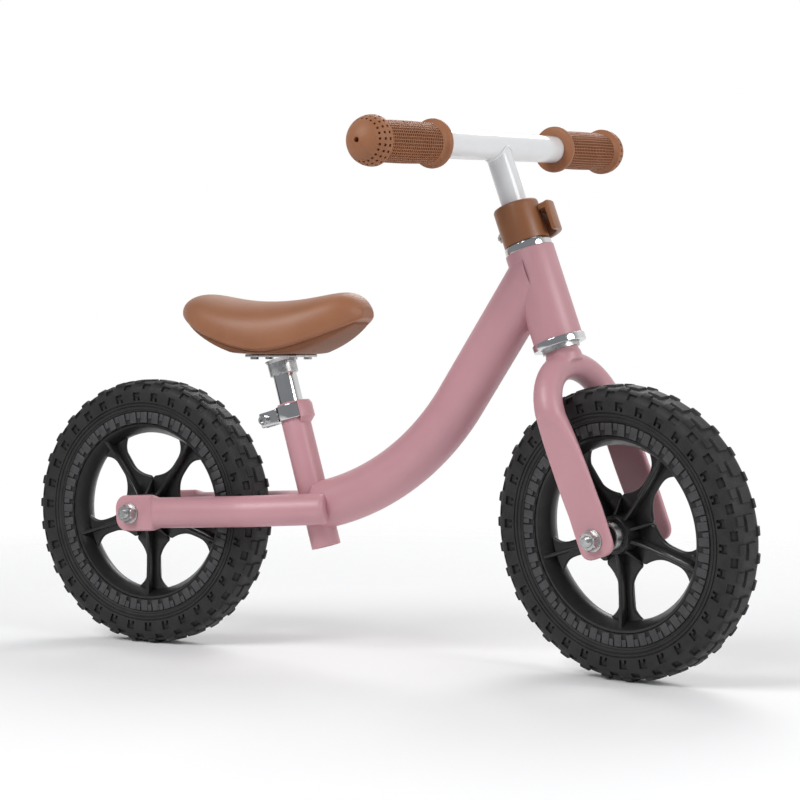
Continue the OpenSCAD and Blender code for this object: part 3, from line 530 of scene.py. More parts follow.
for node, foot, height, radius in (("lower_headset_cup", head_foot - 0.0072, 0.0072, 0.0269),
                                   ("upper_headset_cup", head_top, 0.0072, 0.0238)):
    inner = 0.0203
    into = 0.008 if node == "lower_headset_cup" else -0.008
    far = foot + height if node == "lower_headset_cup" else foot
    near = foot if node == "lower_headset_cup" else foot + height
    bm = bmesh.new()
    lathe(bm, [(inner, near), (radius, near), (radius, far), (head_radius - 0.0025, far),
               (head_radius - 0.0025, far + into), (inner, far + into)], 0.0007)
    settle(bm, node + "_plated", bright_chrome, "frame", "bright_chrome", node,
           place=head_place)


# ---- Fork ----
# One steel tube bent into an arch over the tyre, with both ends pressed into flat plates for
# the front axle. A short neck is welded on top of the arch, and all of it is painted pink.

fork_left = Vector(joints["front_wheel_spin"]["axis"])
fork_place = placed_at(steer_foot, fork_left.cross(steer_up), fork_left, steer_up)
fork_rake, fork_half, arch_height, fork_radius = 0.0046, 0.049, 0.1244, 0.014
fork_widths = ((0.1244, 0.0150), (0.116, 0.0167), (0.106, 0.0180), (0.094, 0.0192),
               (0.080, 0.0200), (0.066, 0.0205), (0.052, 0.0205), (0.040, 0.0205))
outlines = []
for depth in (0.0, 0.001, 0.0025, 0.005, 0.008, 0.012):
    outlines.append(oval(Vector((fork_rake, fork_half, -0.018 + depth)),
                         Vector((plate_edge(depth, 0.0205), 0, 0)), Vector((0, 0.003, 0))))
for height in (0.008, 0.020, 0.030):
    outlines.append(oval(Vector((fork_rake, fork_half, height)), Vector((0.0205, 0, 0)),
                         Vector((0, 0.003, 0))))
for height, half_width in reversed(fork_widths):
    half_thick = max(0.003, (math.pi * fork_radius - 2 * half_width) / (math.pi - 2))
    outlines.append(oval(Vector((fork_rake * (arch_height - height) / arch_height * 1.2,
                                 fork_half, height)),
                         Vector((half_width, 0, 0)),
                         Vector((0, min(half_thick, half_width - 0.00001), 0))))
for step in range(1, 12):
    angle = math.pi / 2 * step / 12
    half_width = fork_radius + 0.001 * max(0, 1 - angle / 0.8) ** 2
    outlines.append(oval(Vector((0, fork_half * math.cos(angle),
                                 arch_height + fork_half * math.sin(angle))),
                         Vector((half_width + 0.00001, 0, 0)),
                         Vector((0, math.cos(angle), math.sin(angle))) * fork_radius))
middle = oval(Vector((0, 0, arch_height + fork_half)), Vector((fork_radius + 0.00001, 0, 0)),
              Vector((0, 0, 1)) * fork_radius)
mirrored = []
for outline in reversed(outlines):
    mirrored.append([Vector((point.x, -point.y, point.z)) for point in outline])
fork_bm = bmesh.new()
sweep(fork_bm, outlines + [middle] + mirrored)
lathe(fork_bm, [(0.0, arch_height + fork_half), (0.0185, arch_height + fork_half + 0.001),
                (0.0182, arch_height + fork_half + 0.0105),
                (0.0165, arch_height + fork_half + 0.0145),
                (0.0165, head_foot - 0.0085), (0.0, head_foot - 0.0085)], steps=48,
      closed=False)
bmesh.ops.remove_doubles(fork_bm, verts=fork_bm.verts, dist=0.000002)
bmesh.ops.recalc_face_normals(fork_bm, faces=fork_bm.faces)
rough_fork = bpy.data.meshes.new("rough_fork")
fork_bm.to_mesh(rough_fork)
fork_bm.free()
rough_holder = bpy.data.objects.new("rough_fork", rough_fork)
scene.collection.objects.link(rough_holder)
melt = rough_holder.modifiers.new("weld", "REMESH")
melt.mode = "VOXEL"
melt.voxel_size = 0.0013
ease = rough_holder.modifiers.new("ease", "SMOOTH")
ease.factor = 0.5
ease.iterations = 8
smooth_fork = bpy.data.meshes.new_from_object(
    rough_holder.evaluated_get(bpy.context.evaluated_depsgraph_get()))
bpy.data.objects.remove(rough_holder)
bm = bmesh.new()
bm.from_mesh(smooth_fork)
settle(bm, "fork_painted", pink_paint, "fork", "frame_paint", "fork_crown", "fork_leg_left",
       "fork_leg_right", place=fork_place, sharp=60)


# ---- Tyres ----
# Each tyre is one ring of closed-cell foam, moulded matt black round the rim. Its tread has a
# middle row of plates and shoulder blocks, and cups and notches are sunk in its flanks. A band
# of stepped pads runs round the foot of each side.

foam = mottled("black_foam", (0.016, 0.016, 0.0165), (0.027, 0.026, 0.026),
               patch=(55, 3), rough=(600, 3, 0.50, 0.66), bump=(900, 3, 0.00022),
               Specular_IOR_Level=0.35)

# The side pads are the tyre's own black foam, painted lighter and given more shine: a painted
# highlight so that the band round the foot of each side reads as lit.
pads_painted_lighter_foam = mottled("black_foam_pads_painted_highlight", (0.040, 0.040, 0.042), (0.058, 0.058, 0.060),
                   patch=(70, 3), rough=(700, 3, 0.42, 0.58), bump=(900, 3, 0.00018),
                   Specular_IOR_Level=0.5)

tread_pitch, columns = 34, 8
tread_outline = [(0.1426, 0.0), (0.1426, 0.0035), (0.1426, 0.0070), (0.1426, 0.0105)]
for angle in (18, 36, 54, 72, 90):
    turn = math.radians(angle)
    tread_outline.append((0.131 + 0.0116 * math.cos(turn), 0.0105 + 0.0116 * math.sin(turn)))
tread_outline += [(0.1280, 0.0222), (0.1250, 0.0221), (0.1218, 0.0218), (0.1200, 0.0213),
                  (0.1195, 0.0202), (0.1189, 0.0202), (0.1183, 0.0212), (0.1166, 0.0210),
                  (0.1160, 0.0198), (0.1153, 0.0198), (0.1147, 0.0205), (0.1128, 0.0200),
                  (0.1120, 0.0187), (0.1110, 0.0185), (0.1101, 0.0176), (0.1098, 0.0170),
                  (0.0970, 0.0170)]
rear_place = placed_at(rear_hub, Vector((1, 0, 0)), Vector((0, 0, -1)), Vector((0, 1, 0)))
front_hub = Vector(joints["front_wheel_spin"]["pos_m"])
front_down = (fork_left * fork_left.z - Vector((0, 0, 1))).normalized()
front_place = placed_at(front_hub, front_down.cross(fork_left), front_down, fork_left)
wheels = (("rear", rear_place), ("front", front_place))


def tyre_mesh():
    bm = bmesh.new()
    lathe(bm, tread_outline + [(radius, -height) for radius, height in tread_outline[:0:-1]],
          steps=tread_pitch * columns)
    bmesh.ops.remove_doubles(bm, verts=bm.verts, dist=0.000002)
    bmesh.ops.recalc_face_normals(bm, faces=bm.faces)
    plates, blocks, cups, notches = [], [], [], []
    for face in bm.faces:
        middle = face.calc_center_median()
        turn = math.atan2(middle.y, middle.x) / (2 * math.pi) * tread_pitch * columns
        column = int(turn // 1) % columns
        radius, side = math.hypot(middle.x, middle.y), abs(middle.z)
        half_on = (column + (columns // 2 if middle.z > 0 else 0)) % columns
        if radius > 0.140 and side < 0.0070 and column < 5:
            plates.append(face)
        elif radius > 0.1400 and 0.0108 < side < 0.0178 and half_on in (0, 1, 2):
            blocks.append(face)
        elif radius > 0.1330 and 0.0178 < side < 0.0216 and half_on in (4, 5, 6):
            cups.append(face)
        elif 0.1218 < radius < 0.1310 and side > 0.0215 and half_on in (0, 1, 2):
            if not (half_on == 1 and radius < 0.1250):
                notches.append(face)
    bmesh.ops.inset_region(bm, faces=plates, thickness=0.0007, depth=0.0023,
                           use_boundary=True, use_even_offset=True)
    bmesh.ops.inset_region(bm, faces=blocks, thickness=0.0006, depth=0.0021,
                           use_boundary=True, use_even_offset=True)
    bmesh.ops.inset_region(bm, faces=cups, thickness=0.0006, depth=-0.0026,
                           use_boundary=True, use_even_offset=True)
    bmesh.ops.inset_region(bm, faces=notches, thickness=0.0004, depth=-0.0026,
                           use_boundary=True, use_even_offset=True)
    return bm


def block(bm, size, place, rounding, segments=2):
    """A box with rounded edges; returns all that it is made of."""
    old = set(bm.verts)
    made = bmesh.ops.create_cube(bm, size=1)["verts"]
    bmesh.ops.scale(bm, vec=size, verts=made)
    bmesh.ops.bevel(bm, geom=list({edge for vert in made for edge in vert.link_edges}),
                    offset=rounding, segments=segments, profile=0.5, affect="EDGES",
                    material=-1)
    made = [vert for vert in bm.verts if vert not in old]
    bmesh.ops.transform(bm, matrix=place, verts=made)
    return made + list({edge for vert in made for edge in vert.link_edges}) + list(
        {face for vert in made for face in vert.link_faces})


def ring_of(bm, geometry, count):
    """Repeats a shape evenly round Z until there are `count` of it."""
    bmesh.ops.spin(bm, geom=geometry, cent=(0, 0, 0), axis=(0, 0, 1), dvec=(0, 0, 0),
                   angle=2 * math.pi * (count - 1) / count, steps=count - 1,
                   use_duplicate=True)


def pads_mesh():
    bm = bmesh.new()
    shapes = []
    for side in (1, -1):
        shapes += block(bm, (0.0120, 0.0086, 0.0046),
                        Matrix.Translation((0.1036, 0, side * 0.0168)), 0.0009)
        shapes += block(bm, (0.0072, 0.0052, 0.0040), Matrix.Rotation(side * 0.066, 4, "Z")
                        @ Matrix.Translation((0.1060, 0, side * 0.0168)), 0.0008)
    ring_of(bm, shapes, 44)
    return bm


for wheel, wheel_place in wheels:
    settle(tyre_mesh(), wheel + "_tyre_tread", foam, wheel + "_wheel", "tyre_foam",
           wheel + "_tyre", place=wheel_place, sharp=35)
    settle(pads_mesh(), wheel + "_tyre_side_pads", pads_painted_lighter_foam, wheel + "_wheel", "tyre_foam",
           place=wheel_place)


# ---- Rims ----
# Each rim is one moulding of black glass-filled nylon: a deep barrel under the tyre, five
# spokes of a flat web with a tall rib along it, and a hub with short ribs between the spokes.

nylon = mottled("black_nylon", (0.0095, 0.0095, 0.010), (0.015, 0.015, 0.015),
                patch=(28, 3), rough=(180, 4, 0.28, 0.40), bump=(1300, 2, 0.00006),
                Specular_IOR_Level=0.5)

window_radius = 0.0863


def spoke_half(radius):
    """Half width of a spoke's web: it widens into the hub and into the barrel."""
    inward = max(0.0, (0.058 - radius) / 0.024)
    outward = max(0.0, (radius - 0.062) / 0.0243)
    return 0.0082 + 0.0112 * inward ** 2.2 + 0.0135 * outward ** 3.2


def radial(bm, turn, stations, count):
    """A bar from the hub outwards, through (radius, half width, half depth) stations."""
    outlines = []
    for radius, wide, deep in stations:
        long, short = ((Vector((0, wide, 0)), Vector((0, 0, deep))) if wide > deep
                       else (Vector((0, 0, deep)), Vector((0, wide, 0))))
        outlines.append([turn @ point
                         for point in oval(Vector((radius, 0, 0)), long, short, count)])
    sweep(bm, outlines)


def rim_mesh():
    bm = bmesh.new()
    half = [(0.0970, 0.0150), (0.0962, 0.0163), (0.0938, 0.0163), (0.0929, 0.0152),
            (0.0900, 0.0100), (0.0874, 0.0052), (window_radius, 0.0025)]
    lathe(bm, half + [(radius, -height) for radius, height in reversed(half)], steps=160)
    disc = [(0.0160, 0.0023), (0.0318, 0.0023), (0.0330, 0.0015)]
    lathe(bm, disc + [(radius, -height) for radius, height in reversed(disc)], steps=96)
    hub = [(0.0143, 0.0206), (0.0148, 0.0210), (0.0180, 0.0210), (0.0188, 0.0203),
           (0.0200, 0.0120), (0.0205, 0.0030)]
    lathe(bm, hub + [(radius, -height) for radius, height in reversed(hub)], steps=96)
    for spoke in range(5):
        turn = Matrix.Rotation(math.pi / 2 + spoke * 2 * math.pi / 5, 3, "Z")
        reaches = [0.0165 + (0.0875 - 0.0165) * step / 26 for step in range(27)]
        radial(bm, turn, [(radius, min(spoke_half(radius), radius * 0.70), 0.0025)
                          for radius in reaches], 28)
        radial(bm, turn, [(radius, 0.0021, depth) for radius, depth in
                          ((0.0150, 0.0170), (0.0200, 0.0160), (0.0260, 0.0138),
                           (0.0340, 0.0126), (0.0480, 0.0122), (0.0620, 0.0124),
                           (0.0760, 0.0132), (0.0860, 0.0142), (0.0925, 0.0151),
                           (0.0950, 0.0155))], 24)
        between = Matrix.Rotation(math.pi / 5, 3, "Z") @ turn
        radial(bm, between, [(radius, 0.0016, depth) for radius, depth in
                             ((0.0170, 0.0175), (0.0210, 0.0150), (0.0260, 0.0105),
                              (0.0310, 0.0070), (0.0345, 0.0040))], 20)
    lug_turn = Matrix.Rotation(math.pi / 2 - 2 * math.pi / 5, 4, "Z")
    for shift in (-0.0075, 0.0075):
        block(bm, (0.0060, 0.0050, 0.0130), lug_turn @ Matrix.Translation((0.0850, shift, 0)),
              0.0006)
    return bm


for wheel, wheel_place in wheels:
    settle(rim_mesh(), wheel + "_rim_moulding", nylon, wheel + "_wheel", "rim_plastic",
           wheel + "_rim", place=wheel_place, sharp=38)


# ---- Hub sleeves and bearings ----
# A zinc-plated steel sleeve is moulded into each hub and stands out of it on both sides. It
# holds two ball bearings, each shut by a thin black rubber seal.

zinc = mottled("zinc_plated_steel", (0.46, 0.46, 0.46), (0.62, 0.62, 0.61),
               patch=(160, 3), rough=(330, 3, 0.24, 0.42), bump=(500, 3, 0.00006),
               Metallic=1.0)

seal = mottled("black_seal", (0.010, 0.010, 0.010), (0.020, 0.020, 0.020),
               patch=(300, 2), rough=(500, 2, 0.6, 0.75), bump=(900, 2, 0.00005),
               Specular_IOR_Level=0.3)

for wheel, wheel_place in wheels:
    bm = bmesh.new()
    lathe(bm, [(0.0130, -0.031), (0.0142, -0.031), (0.0142, 0.031), (0.0130, 0.031)], 0.0004)
    settle(bm, wheel + "_hub_sleeve_plated", zinc, wheel + "_wheel", "zinc_steel",
           wheel + "_hub_sleeve", place=wheel_place)
    seals = frame["nodes"][wheel + "_bearing_seals"].data
    seals.materials.clear()
    seals.materials.append(seal)


# ---- Axle ends, nuts and washers ----
# Each axle is a threaded zinc-plated rod. Outside the fork or chainstay plates it carries a
# washer and a hexagon nut with chamfered corners, and its bare thread ends just beyond.

def move_new(bm, old, place):
    """Moves all that was added to the bmesh since its vertices were `old`."""
    bmesh.ops.transform(bm, matrix=place, verts=[vert for vert in bm.verts if vert not in old])


def nut(bm, across_flats, thickness, bore, place):
    """A hexagon nut whose outer face is chamfered to a circle, lying on z = 0."""
    old = set(bm.verts)
    corner = across_flats / 2 / math.cos(math.pi / 6)
    outlines = []
    for height, chamfer in ((0.0, 0.0006), (0.0006, 0.0), (thickness - 0.0012, 0.0),
                            (thickness, 0.0014)):
        outline = []
        for number in range(36):
            angle = 2 * math.pi * number / 36
            flat = across_flats / 2 / math.cos((angle + math.pi / 6) % (math.pi / 3)
                                               - math.pi / 6)
            reach = min(flat, corner - chamfer)
            outline.append(Vector((reach * math.cos(angle), reach * math.sin(angle), height)))
        outlines.append(outline)
    outlines.append([Vector((math.cos(2 * math.pi * number / 36),
                             math.sin(2 * math.pi * number / 36), 0)) * (bore + 0.0007)
                     + Vector((0, 0, thickness)) for number in range(36)])
    outlines.append([Vector((math.cos(2 * math.pi * number / 36),
                             math.sin(2 * math.pi * number / 36), 0)) * bore
                     + Vector((0, 0, thickness - 0.0009)) for number in range(36)])
    sweep(bm, outlines)
    move_new(bm, old, place)


def thread(bm, radius, start, end, place, pitch=0.00125, depth=0.0005):
    """A rod with a chamfered end, ridged like a thread between start and end."""
    old = set(bm.verts)
    outline = [(0.0, start), (radius - depth, start)]
    height = start
    while height < end - 0.0016:
        outline += [(radius - depth, height + pitch * 0.15), (radius, height + pitch * 0.5),
                    (radius, height + pitch * 0.6), (radius - depth, height + pitch * 0.95)]
        height += pitch
    outline += [(radius - depth * 0.6, end - 0.0008), (radius - 0.0012, end), (0.0, end)]
    lathe(bm, outline, steps=48, closed=False)
    move_new(bm, old, place)


mirror = Matrix.Diagonal((1, 1, -1, 1))
for wheel, wheel_place, body, seat_at in (("rear", rear_place, "frame", 0.0455),
                                          ("front", front_place, "fork", 0.0520)):
    nuts, washers, axle = bmesh.new(), bmesh.new(), bmesh.new()
    for side in (Matrix.Identity(4), mirror):
        nut(nuts, 0.017, 0.008, 0.00505, side @ Matrix.Translation((0, 0, seat_at + 0.0015)))
        thread(axle, 0.005, 0.0, seat_at + 0.0140, side)
        old = set(washers.verts)
        lathe(washers, [(0.0052, seat_at), (0.011, seat_at), (0.011, seat_at + 0.0015),
                        (0.0052, seat_at + 0.0015)], 0.0003, 64)
        move_new(washers, old, side)
    settle(nuts, wheel + "_nuts_plated", zinc, body, "zinc_steel", wheel + "_axle_nuts",
           place=wheel_place, sharp=25)
    settle(washers, wheel + "_washers_plated", zinc, body, "zinc_steel",
           wheel + "_axle_washers", place=wheel_place)
    settle(axle, wheel + "_axle_threaded", zinc, body, "zinc_steel", wheel + "_axle",
           place=wheel_place, sharp=30)


# ---- Clamping collar and its lever ----
# The collar is a split ring of brown moulded nylon, pulled shut on the fork's steerer by an
# eye bolt. Its lever is hooked round the collar's left side and has a hollow to pull it by.

brown_nylon = mottled("brown_nylon", (0.270, 0.105, 0.043), (0.300, 0.120, 0.050),
                      patch=(40, 3), rough=(260, 3, 0.30, 0.40), bump=(1400, 2, 0.00005),
                      Coat_Weight=0.15, Coat_Roughness=0.3)

collar_foot = head_top + 0.0072 + 0.0012
collar_radius, collar_height, collar_bore = 0.023, 0.0405, 0.0151
collar_top = collar_foot + collar_height
lever_foot = collar_foot + 0.002
lever_height = 0.030
ear_turn = math.radians(150)
bolt_out, pin_side = 0.030, 0.0148
bm = bmesh.new()
outline = [(collar_bore, collar_foot), (collar_radius - 0.0004, collar_foot),
           (collar_radius, collar_foot + 0.0004), (collar_radius, collar_top - 0.0040),
           (collar_radius - 0.0004, collar_top - 0.0020),
           (collar_radius - 0.0015, collar_top - 0.0007),
           (collar_radius - 0.0031, collar_top), (collar_bore, collar_top)]
lathe(bm, outline, steps=120)
ear_place = Matrix.Rotation(ear_turn, 4, "Z") @ Matrix.Translation(
    (0, 0, lever_foot + lever_height / 2))
for side in (1, -1):
    block(bm, (0.018, 0.0068, 0.022), ear_place @ Matrix.Translation((0.027, side * 0.0045, 0)),
          0.0016, 3)
settle(bm, "clamp_collar_moulded", brown_nylon, "fork", "clamp_plastic", "clamp_collar",
       place=fork_place)

pivot_turn = ear_turn - math.atan2(pin_side, bolt_out)
pivot_radius = math.hypot(pin_side, bolt_out)


def lever_part(bm, inner, outer, low, high, start, end, rounding, steps=36):
    """A curved bar round the collar: its section spun from one angle to another."""
    corners = [bm.verts.new(point) for point in
               ((inner, 0, low), (outer, 0, low), (outer, 0, high), (inner, 0, high))]
    bmesh.ops.rotate(bm, verts=corners, cent=(0, 0, 0), matrix=Matrix.Rotation(start, 3, "Z"))
    face = bm.faces.new(corners)
    spun = bmesh.ops.spin(bm, geom=[face, *face.edges, *face.verts], cent=(0, 0, 0),
                          axis=(0, 0, 1), dvec=(0, 0, 0), angle=end - start, steps=steps)
    last = [item for item in spun["geom_last"] if isinstance(item, bmesh.types.BMFace)]
    edges = {edge for end_face in [face, *last] for edge in end_face.edges}
    walk = [edge for edge in bm.edges if edge.is_manifold
            and edge.calc_face_angle(0) > 1.0 and edge not in edges
            and min(vert.co.z for vert in edge.verts) >= low - 0.0001
            and max(vert.co.z for vert in edge.verts) <= high + 0.0001]
    bmesh.ops.bevel(bm, geom=list(edges) + walk, offset=rounding, segments=3, profile=0.5,
                    affect="EDGES", clamp_overlap=True, material=-1)


def take_in(bm, other):
    """Adds another bmesh's shape to this one, and frees the other."""
    carrier = bpy.data.meshes.new("carrier")
    other.to_mesh(carrier)
    other.free()
    bm.from_mesh(carrier)
    bpy.data.meshes.remove(carrier)


bm = bmesh.new()
lever_part(bm, 0.0316, 0.0375, lever_foot, lever_foot + lever_height, math.radians(4),
           pivot_turn - math.radians(12), 0.0019)
lip = bmesh.new()
lever_part(lip, collar_radius + 0.0010, 0.0360, lever_foot + lever_height - 0.0062,
           lever_foot + lever_height - 0.0004, math.radians(5), math.radians(71), 0.0014)
take_in(bm, lip)
pivot_place = Matrix.Rotation(pivot_turn, 4, "Z") @ Matrix.Translation(
    (pivot_radius, 0, lever_foot + lever_height / 2 + 0.003))
for low in (-0.0103, 0.0043):
    old = set(bm.verts)
    bmesh.ops.create_cone(bm, cap_ends=True, segments=40, radius1=0.006, radius2=0.006,
                          depth=0.006)
    move_new(bm, old, pivot_place @ Matrix.Translation((0, 0, low)))
    block(bm, (0.0045, 0.0095, 0.006),
          pivot_place @ Matrix.Translation((0.0005, -0.0048, low)), 0.0008)
settle(bm, "clamp_lever_moulded", brown_nylon, "lever", "clamp_plastic", "clamp_lever",
       place=fork_place, sharp=50)


# ---- Handlebar ----
# A straight steel bar welded across the top of a straight stem, both painted gloss white. The
# stem slides in the steerer, where the collar clamps it.

white_paint = mottled("white_gloss_paint", (0.80, 0.81, 0.82), (0.84, 0.845, 0.85),
                      patch=(20, 2), rough=(200, 2, 0.16, 0.24), bump=(300, 2, 0.00005),
                      Coat_Weight=0.6, Coat_Roughness=0.06)


def bead(bm, points, thickness):
    """A round weld bead along a closed line of points."""
    line = bpy.data.curves.new("bead", "CURVE")
    line.dimensions = "3D"
    line.bevel_depth = thickness
    line.bevel_resolution = 3
    track = line.splines.new("POLY")
    track.points.add(len(points) - 1)
    for stop, point in zip(track.points, points):
        stop.co = (*point, 1)
    track.use_cyclic_u = True
    holder = bpy.data.objects.new("bead", line)
    round_line = bpy.data.meshes.new_from_object(holder)
    bm.from_mesh(round_line)
    bpy.data.objects.remove(holder)
    bpy.data.curves.remove(line)
    bpy.data.meshes.remove(round_line)


bar_height, bar_radius, stem_radius, bar_half = 0.4056, 0.014, 0.013, 0.229
bar_place = fork_place @ Matrix.Rotation(math.radians(5.3), 4, "Z") @ Matrix.Translation(
    (0, 0, bar_height))
on_bar = placed_at(Vector((0, 0, 0)), Vector((1, 0, 0)), Vector((0, 0, -1)),
                   Vector((0, 1, 0)))
bm = bmesh.new()
lathe(bm, [(bar_radius - 0.0018, -bar_half + 0.008), (bar_radius, -bar_half + 0.008),
           (bar_radius, bar_half - 0.008), (bar_radius - 0.0018, bar_half - 0.008)], 0.0003)
settle(bm, "handlebar_bar_painted", white_paint, "handlebar", "bar_paint", "handlebar_bar",
       place=bar_place @ on_bar)
bm = bmesh.new()
weld_line = []
for number in range(48):
    angle = 2 * math.pi * number / 48
    x, y = stem_radius * math.cos(angle), stem_radius * math.sin(angle)
    weld_line.append(Vector((x, y, -math.sqrt(bar_radius ** 2 - x ** 2))))
foot = [Vector((point.x, point.y, -0.170)) for point in weld_line]
near_foot = [point + Vector((0, 0, 0.0006)) for point in foot]
shrunk = [Vector((point.x * 0.96, point.y * 0.96, point.z)) for point in foot]
sweep(bm, [shrunk, near_foot, weld_line], shut=False)
bead(bm, [point * 1.02 for point in weld_line], 0.0016)
settle(bm, "handlebar_stem_painted", white_paint, "handlebar", "bar_paint",
       "handlebar_stem", place=bar_place, sharp=50)


# ---- Grips ----
# Soft brown rubber sleeves pushed over the bar's ends. Each has a flange at its inner end, a
# hand hold covered with rows of small square holes, and a ball end with three rings of holes
# and one round hole in its tip.

brown_rubber = mottled("brown_rubber", (0.310, 0.125, 0.056), (0.360, 0.150, 0.070),
                       patch=(45, 3), rough=(400, 3, 0.46, 0.60), bump=(1100, 2, 0.00006),
                       Specular_IOR_Level=0.4)

grip_foot = bar_half - 0.123


def pitted(bm, faces, rim, depth):
    """Sinks a square hole with a sloping edge into each of these faces."""
    bmesh.ops.inset_individual(bm, faces=faces, thickness=rim, depth=0)
    bmesh.ops.inset_individual(bm, faces=faces, thickness=rim * 0.35, depth=-depth)


def grip_mesh():
    bm = bmesh.new()
    pitch = 0.0031
    rows = 26
    start = grip_foot + 0.0125
    outline = [(0.0142, grip_foot), (0.0205, grip_foot), (0.0228, grip_foot + 0.0006),
               (0.0238, grip_foot + 0.0018), (0.0240, grip_foot + 0.0035),
               (0.0238, grip_foot + 0.0052), (0.0228, grip_foot + 0.0064),
               (0.0208, grip_foot + 0.0074), (0.0199, grip_foot + 0.0090),
               (0.0195, grip_foot + 0.0110)]
    for row in range(rows + 1):
        outline.append((0.0195 + 0.0006 * math.sin(math.pi * row / rows), start + pitch * row))
    lathe(bm, outline, steps=40, closed=False)
    bmesh.ops.remove_doubles(bm, verts=bm.verts, dist=0.000002)
    bmesh.ops.recalc_face_normals(bm, faces=bm.faces)
    hold = [face for face in bm.faces if start < face.calc_center_median().z]
    pitted(bm, hold, 0.00055, 0.0011)
    end = start + pitch * rows
    ball_at = bar_half - 0.024
    outline = [(0.0195, end), (0.0205, end + 0.0012), (0.0222, end + 0.0030)]
    first = math.asin(max(-1, (end + 0.0045 - ball_at) / 0.024))
    for step in range(12):
        angle = first + (math.radians(72) - first) * step / 11
        outline.append((0.024 * math.cos(angle), ball_at + 0.024 * math.sin(angle)))
    outline += [(0.0060, bar_half - 0.0005), (0.0032, bar_half - 0.0002),
                (0.0025, bar_half - 0.0008), (0.0025, bar_half - 0.0070),
                (0.0, bar_half - 0.0070)]
    old = set(bm.verts)
    lathe(bm, outline, steps=48, closed=False)
    ball = [vert for vert in bm.verts if vert not in old]
    bmesh.ops.remove_doubles(bm, verts=ball, dist=0.000002)
    rows_z = [ball_at + 0.024 * math.sin(first + (math.radians(72) - first) * (k + 0.5) / 11)
              for k in (1, 3, 5)]
    holes = []
    for face in bm.faces:
        middle = face.calc_center_median()
        if len(face.verts) != 4 or middle.z < end + 0.003:
            continue
        column = int(math.atan2(middle.y, middle.x) / (2 * math.pi) * 48 // 1)
        if column % 2 == 0 and min(abs(middle.z - row) for row in rows_z) < 0.0004:
            holes.append(face)
    bmesh.ops.recalc_face_normals(bm, faces=bm.faces)
    pitted(bm, holes, 0.00035, 0.0022)
    return bm


for side, node in ((1, "grip_left"), (-1, "grip_right")):
    settle(grip_mesh(), node + "_rubber", brown_rubber, "handlebar", "grip_rubber", node,
           place=bar_place @ Matrix.Diagonal((1, side, 1, 1)) @ on_bar, sharp=45)


# ---- Seat clamp ----
# A chromed steel band round the seat tube's slit top, with two ears at the back that a socket
# screw draws together.

bm = bmesh.new()
band_in, band_out = seat_radius, seat_radius + 0.0032
band_foot = clamp_top - clamp_height
lathe(bm, [(band_in, band_foot), (band_out, band_foot), (band_out, clamp_top),
           (band_in, clamp_top)], 0.0009)
for side in (1, -1):
    block(bm, (0.0225, 0.0038, clamp_height), Matrix.Translation(
        (-0.0285, side * 0.004, clamp_top - clamp_height / 2)), 0.0013, 3)
settle(bm, "seat_clamp_band_plated", bright_chrome, "frame", "bright_chrome",
       "seat_clamp_band", place=seat_place)

bolt_place = seat_place @ Matrix.Translation((-0.034, 0, clamp_top - clamp_height / 2)) \
    @ on_bar
bm = bmesh.new()
lathe(bm, [(0.0, -0.0085), (0.0026, -0.0085), (0.0029, -0.0110), (0.0044, -0.0110),
           (0.0050, -0.0104), (0.0050, -0.0060), (0.0, -0.0060)], steps=48, closed=False)
thread(bm, 0.003, -0.0065, 0.0128, Matrix.Identity(4), 0.001, 0.0004)
settle(bm, "seat_clamp_screw_plated", zinc, "frame", "zinc_steel", "seat_clamp_bolt",
       place=bolt_place)
bm = bmesh.new()
nut(bm, 0.0100, 0.005, 0.00305, Matrix.Translation((0, 0, 0.006)))
settle(bm, "seat_clamp_nut_plated", zinc, "frame", "zinc_steel", "seat_clamp_nut",
       place=bolt_place, sharp=25)


# ---- Seat post and bracket ----
# A chromed steel tube that slides in the seat tube. A cup and a flat plate are welded to its
# top, and four screws hold the plate to the saddle's pan.

post_radius, post_foot = 0.0127, 0.168
bracket_low, bracket_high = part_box("saddle_bracket")
post_top = bracket_high.z / seat_up.z - 0.0072
bm = bmesh.new()
lathe(bm, [(post_radius - 0.002, post_foot), (post_radius, post_foot),
           (post_radius, post_top), (post_radius - 0.002, post_top)], 0.0005)
settle(bm, "seat_post_plated", bright_chrome, "seat", "bright_chrome", "seat_post",
       place=seat_place)

bm = bmesh.new()
plate_middle = (bracket_low + bracket_high) / 2
block(bm, (0.064, 0.044, 0.003),
      Matrix.Translation((plate_middle.x, 0, bracket_high.z - 0.0015)), 0.0011, 3)
cup = bmesh.new()
lathe(cup, [(post_radius, post_top - 0.015), (post_radius + 0.0025, post_top - 0.015),
            (post_radius + 0.0027, post_top - 0.0014), (post_radius + 0.0050, post_top + 0.0016),
            (post_radius, post_top + 0.0016)], 0.0006)
bmesh.ops.transform(cup, matrix=seat_place, verts=cup.verts)
take_in(bm, cup)
settle(bm, "saddle_bracket_plated", zinc, "seat", "zinc_steel", "saddle_bracket")


# ---- Saddle ----
# Foam under a smooth brown imitation-leather skin, on a brown moulded pan. It is wide and
# raised at the tail, dips where the child sits and rises again to a rounded nose; the skin is
# wrapped round the edge and stapled under the pan.

saddle_skin, shader, place = new_finish("brown_saddle_skin", Coat_Weight=0.12,
                                        Coat_Roughness=0.4, Sheen_Weight=0.05)
grain = place.node("ShaderNodeTexVoronoi", {"feature": "F1"},
                   {"Vector": place, "Scale": 900.0, "Randomness": 1.0})
cloud = place.noise(22, 3)
cloud.spread(0, 1).blend((0.300, 0.116, 0.050), (0.350, 0.142, 0.064)).into(
    shader["Base Color"])
(grain.spread(0.40, 0.48) + cloud * 0.06).into(shader["Roughness"])
raise_by(grain + place.noise(300, 3) * 0.6, shader, 0.00007)

saddle_length, saddle_low, saddle_tail = 0.2245, 0.320, -0.2280


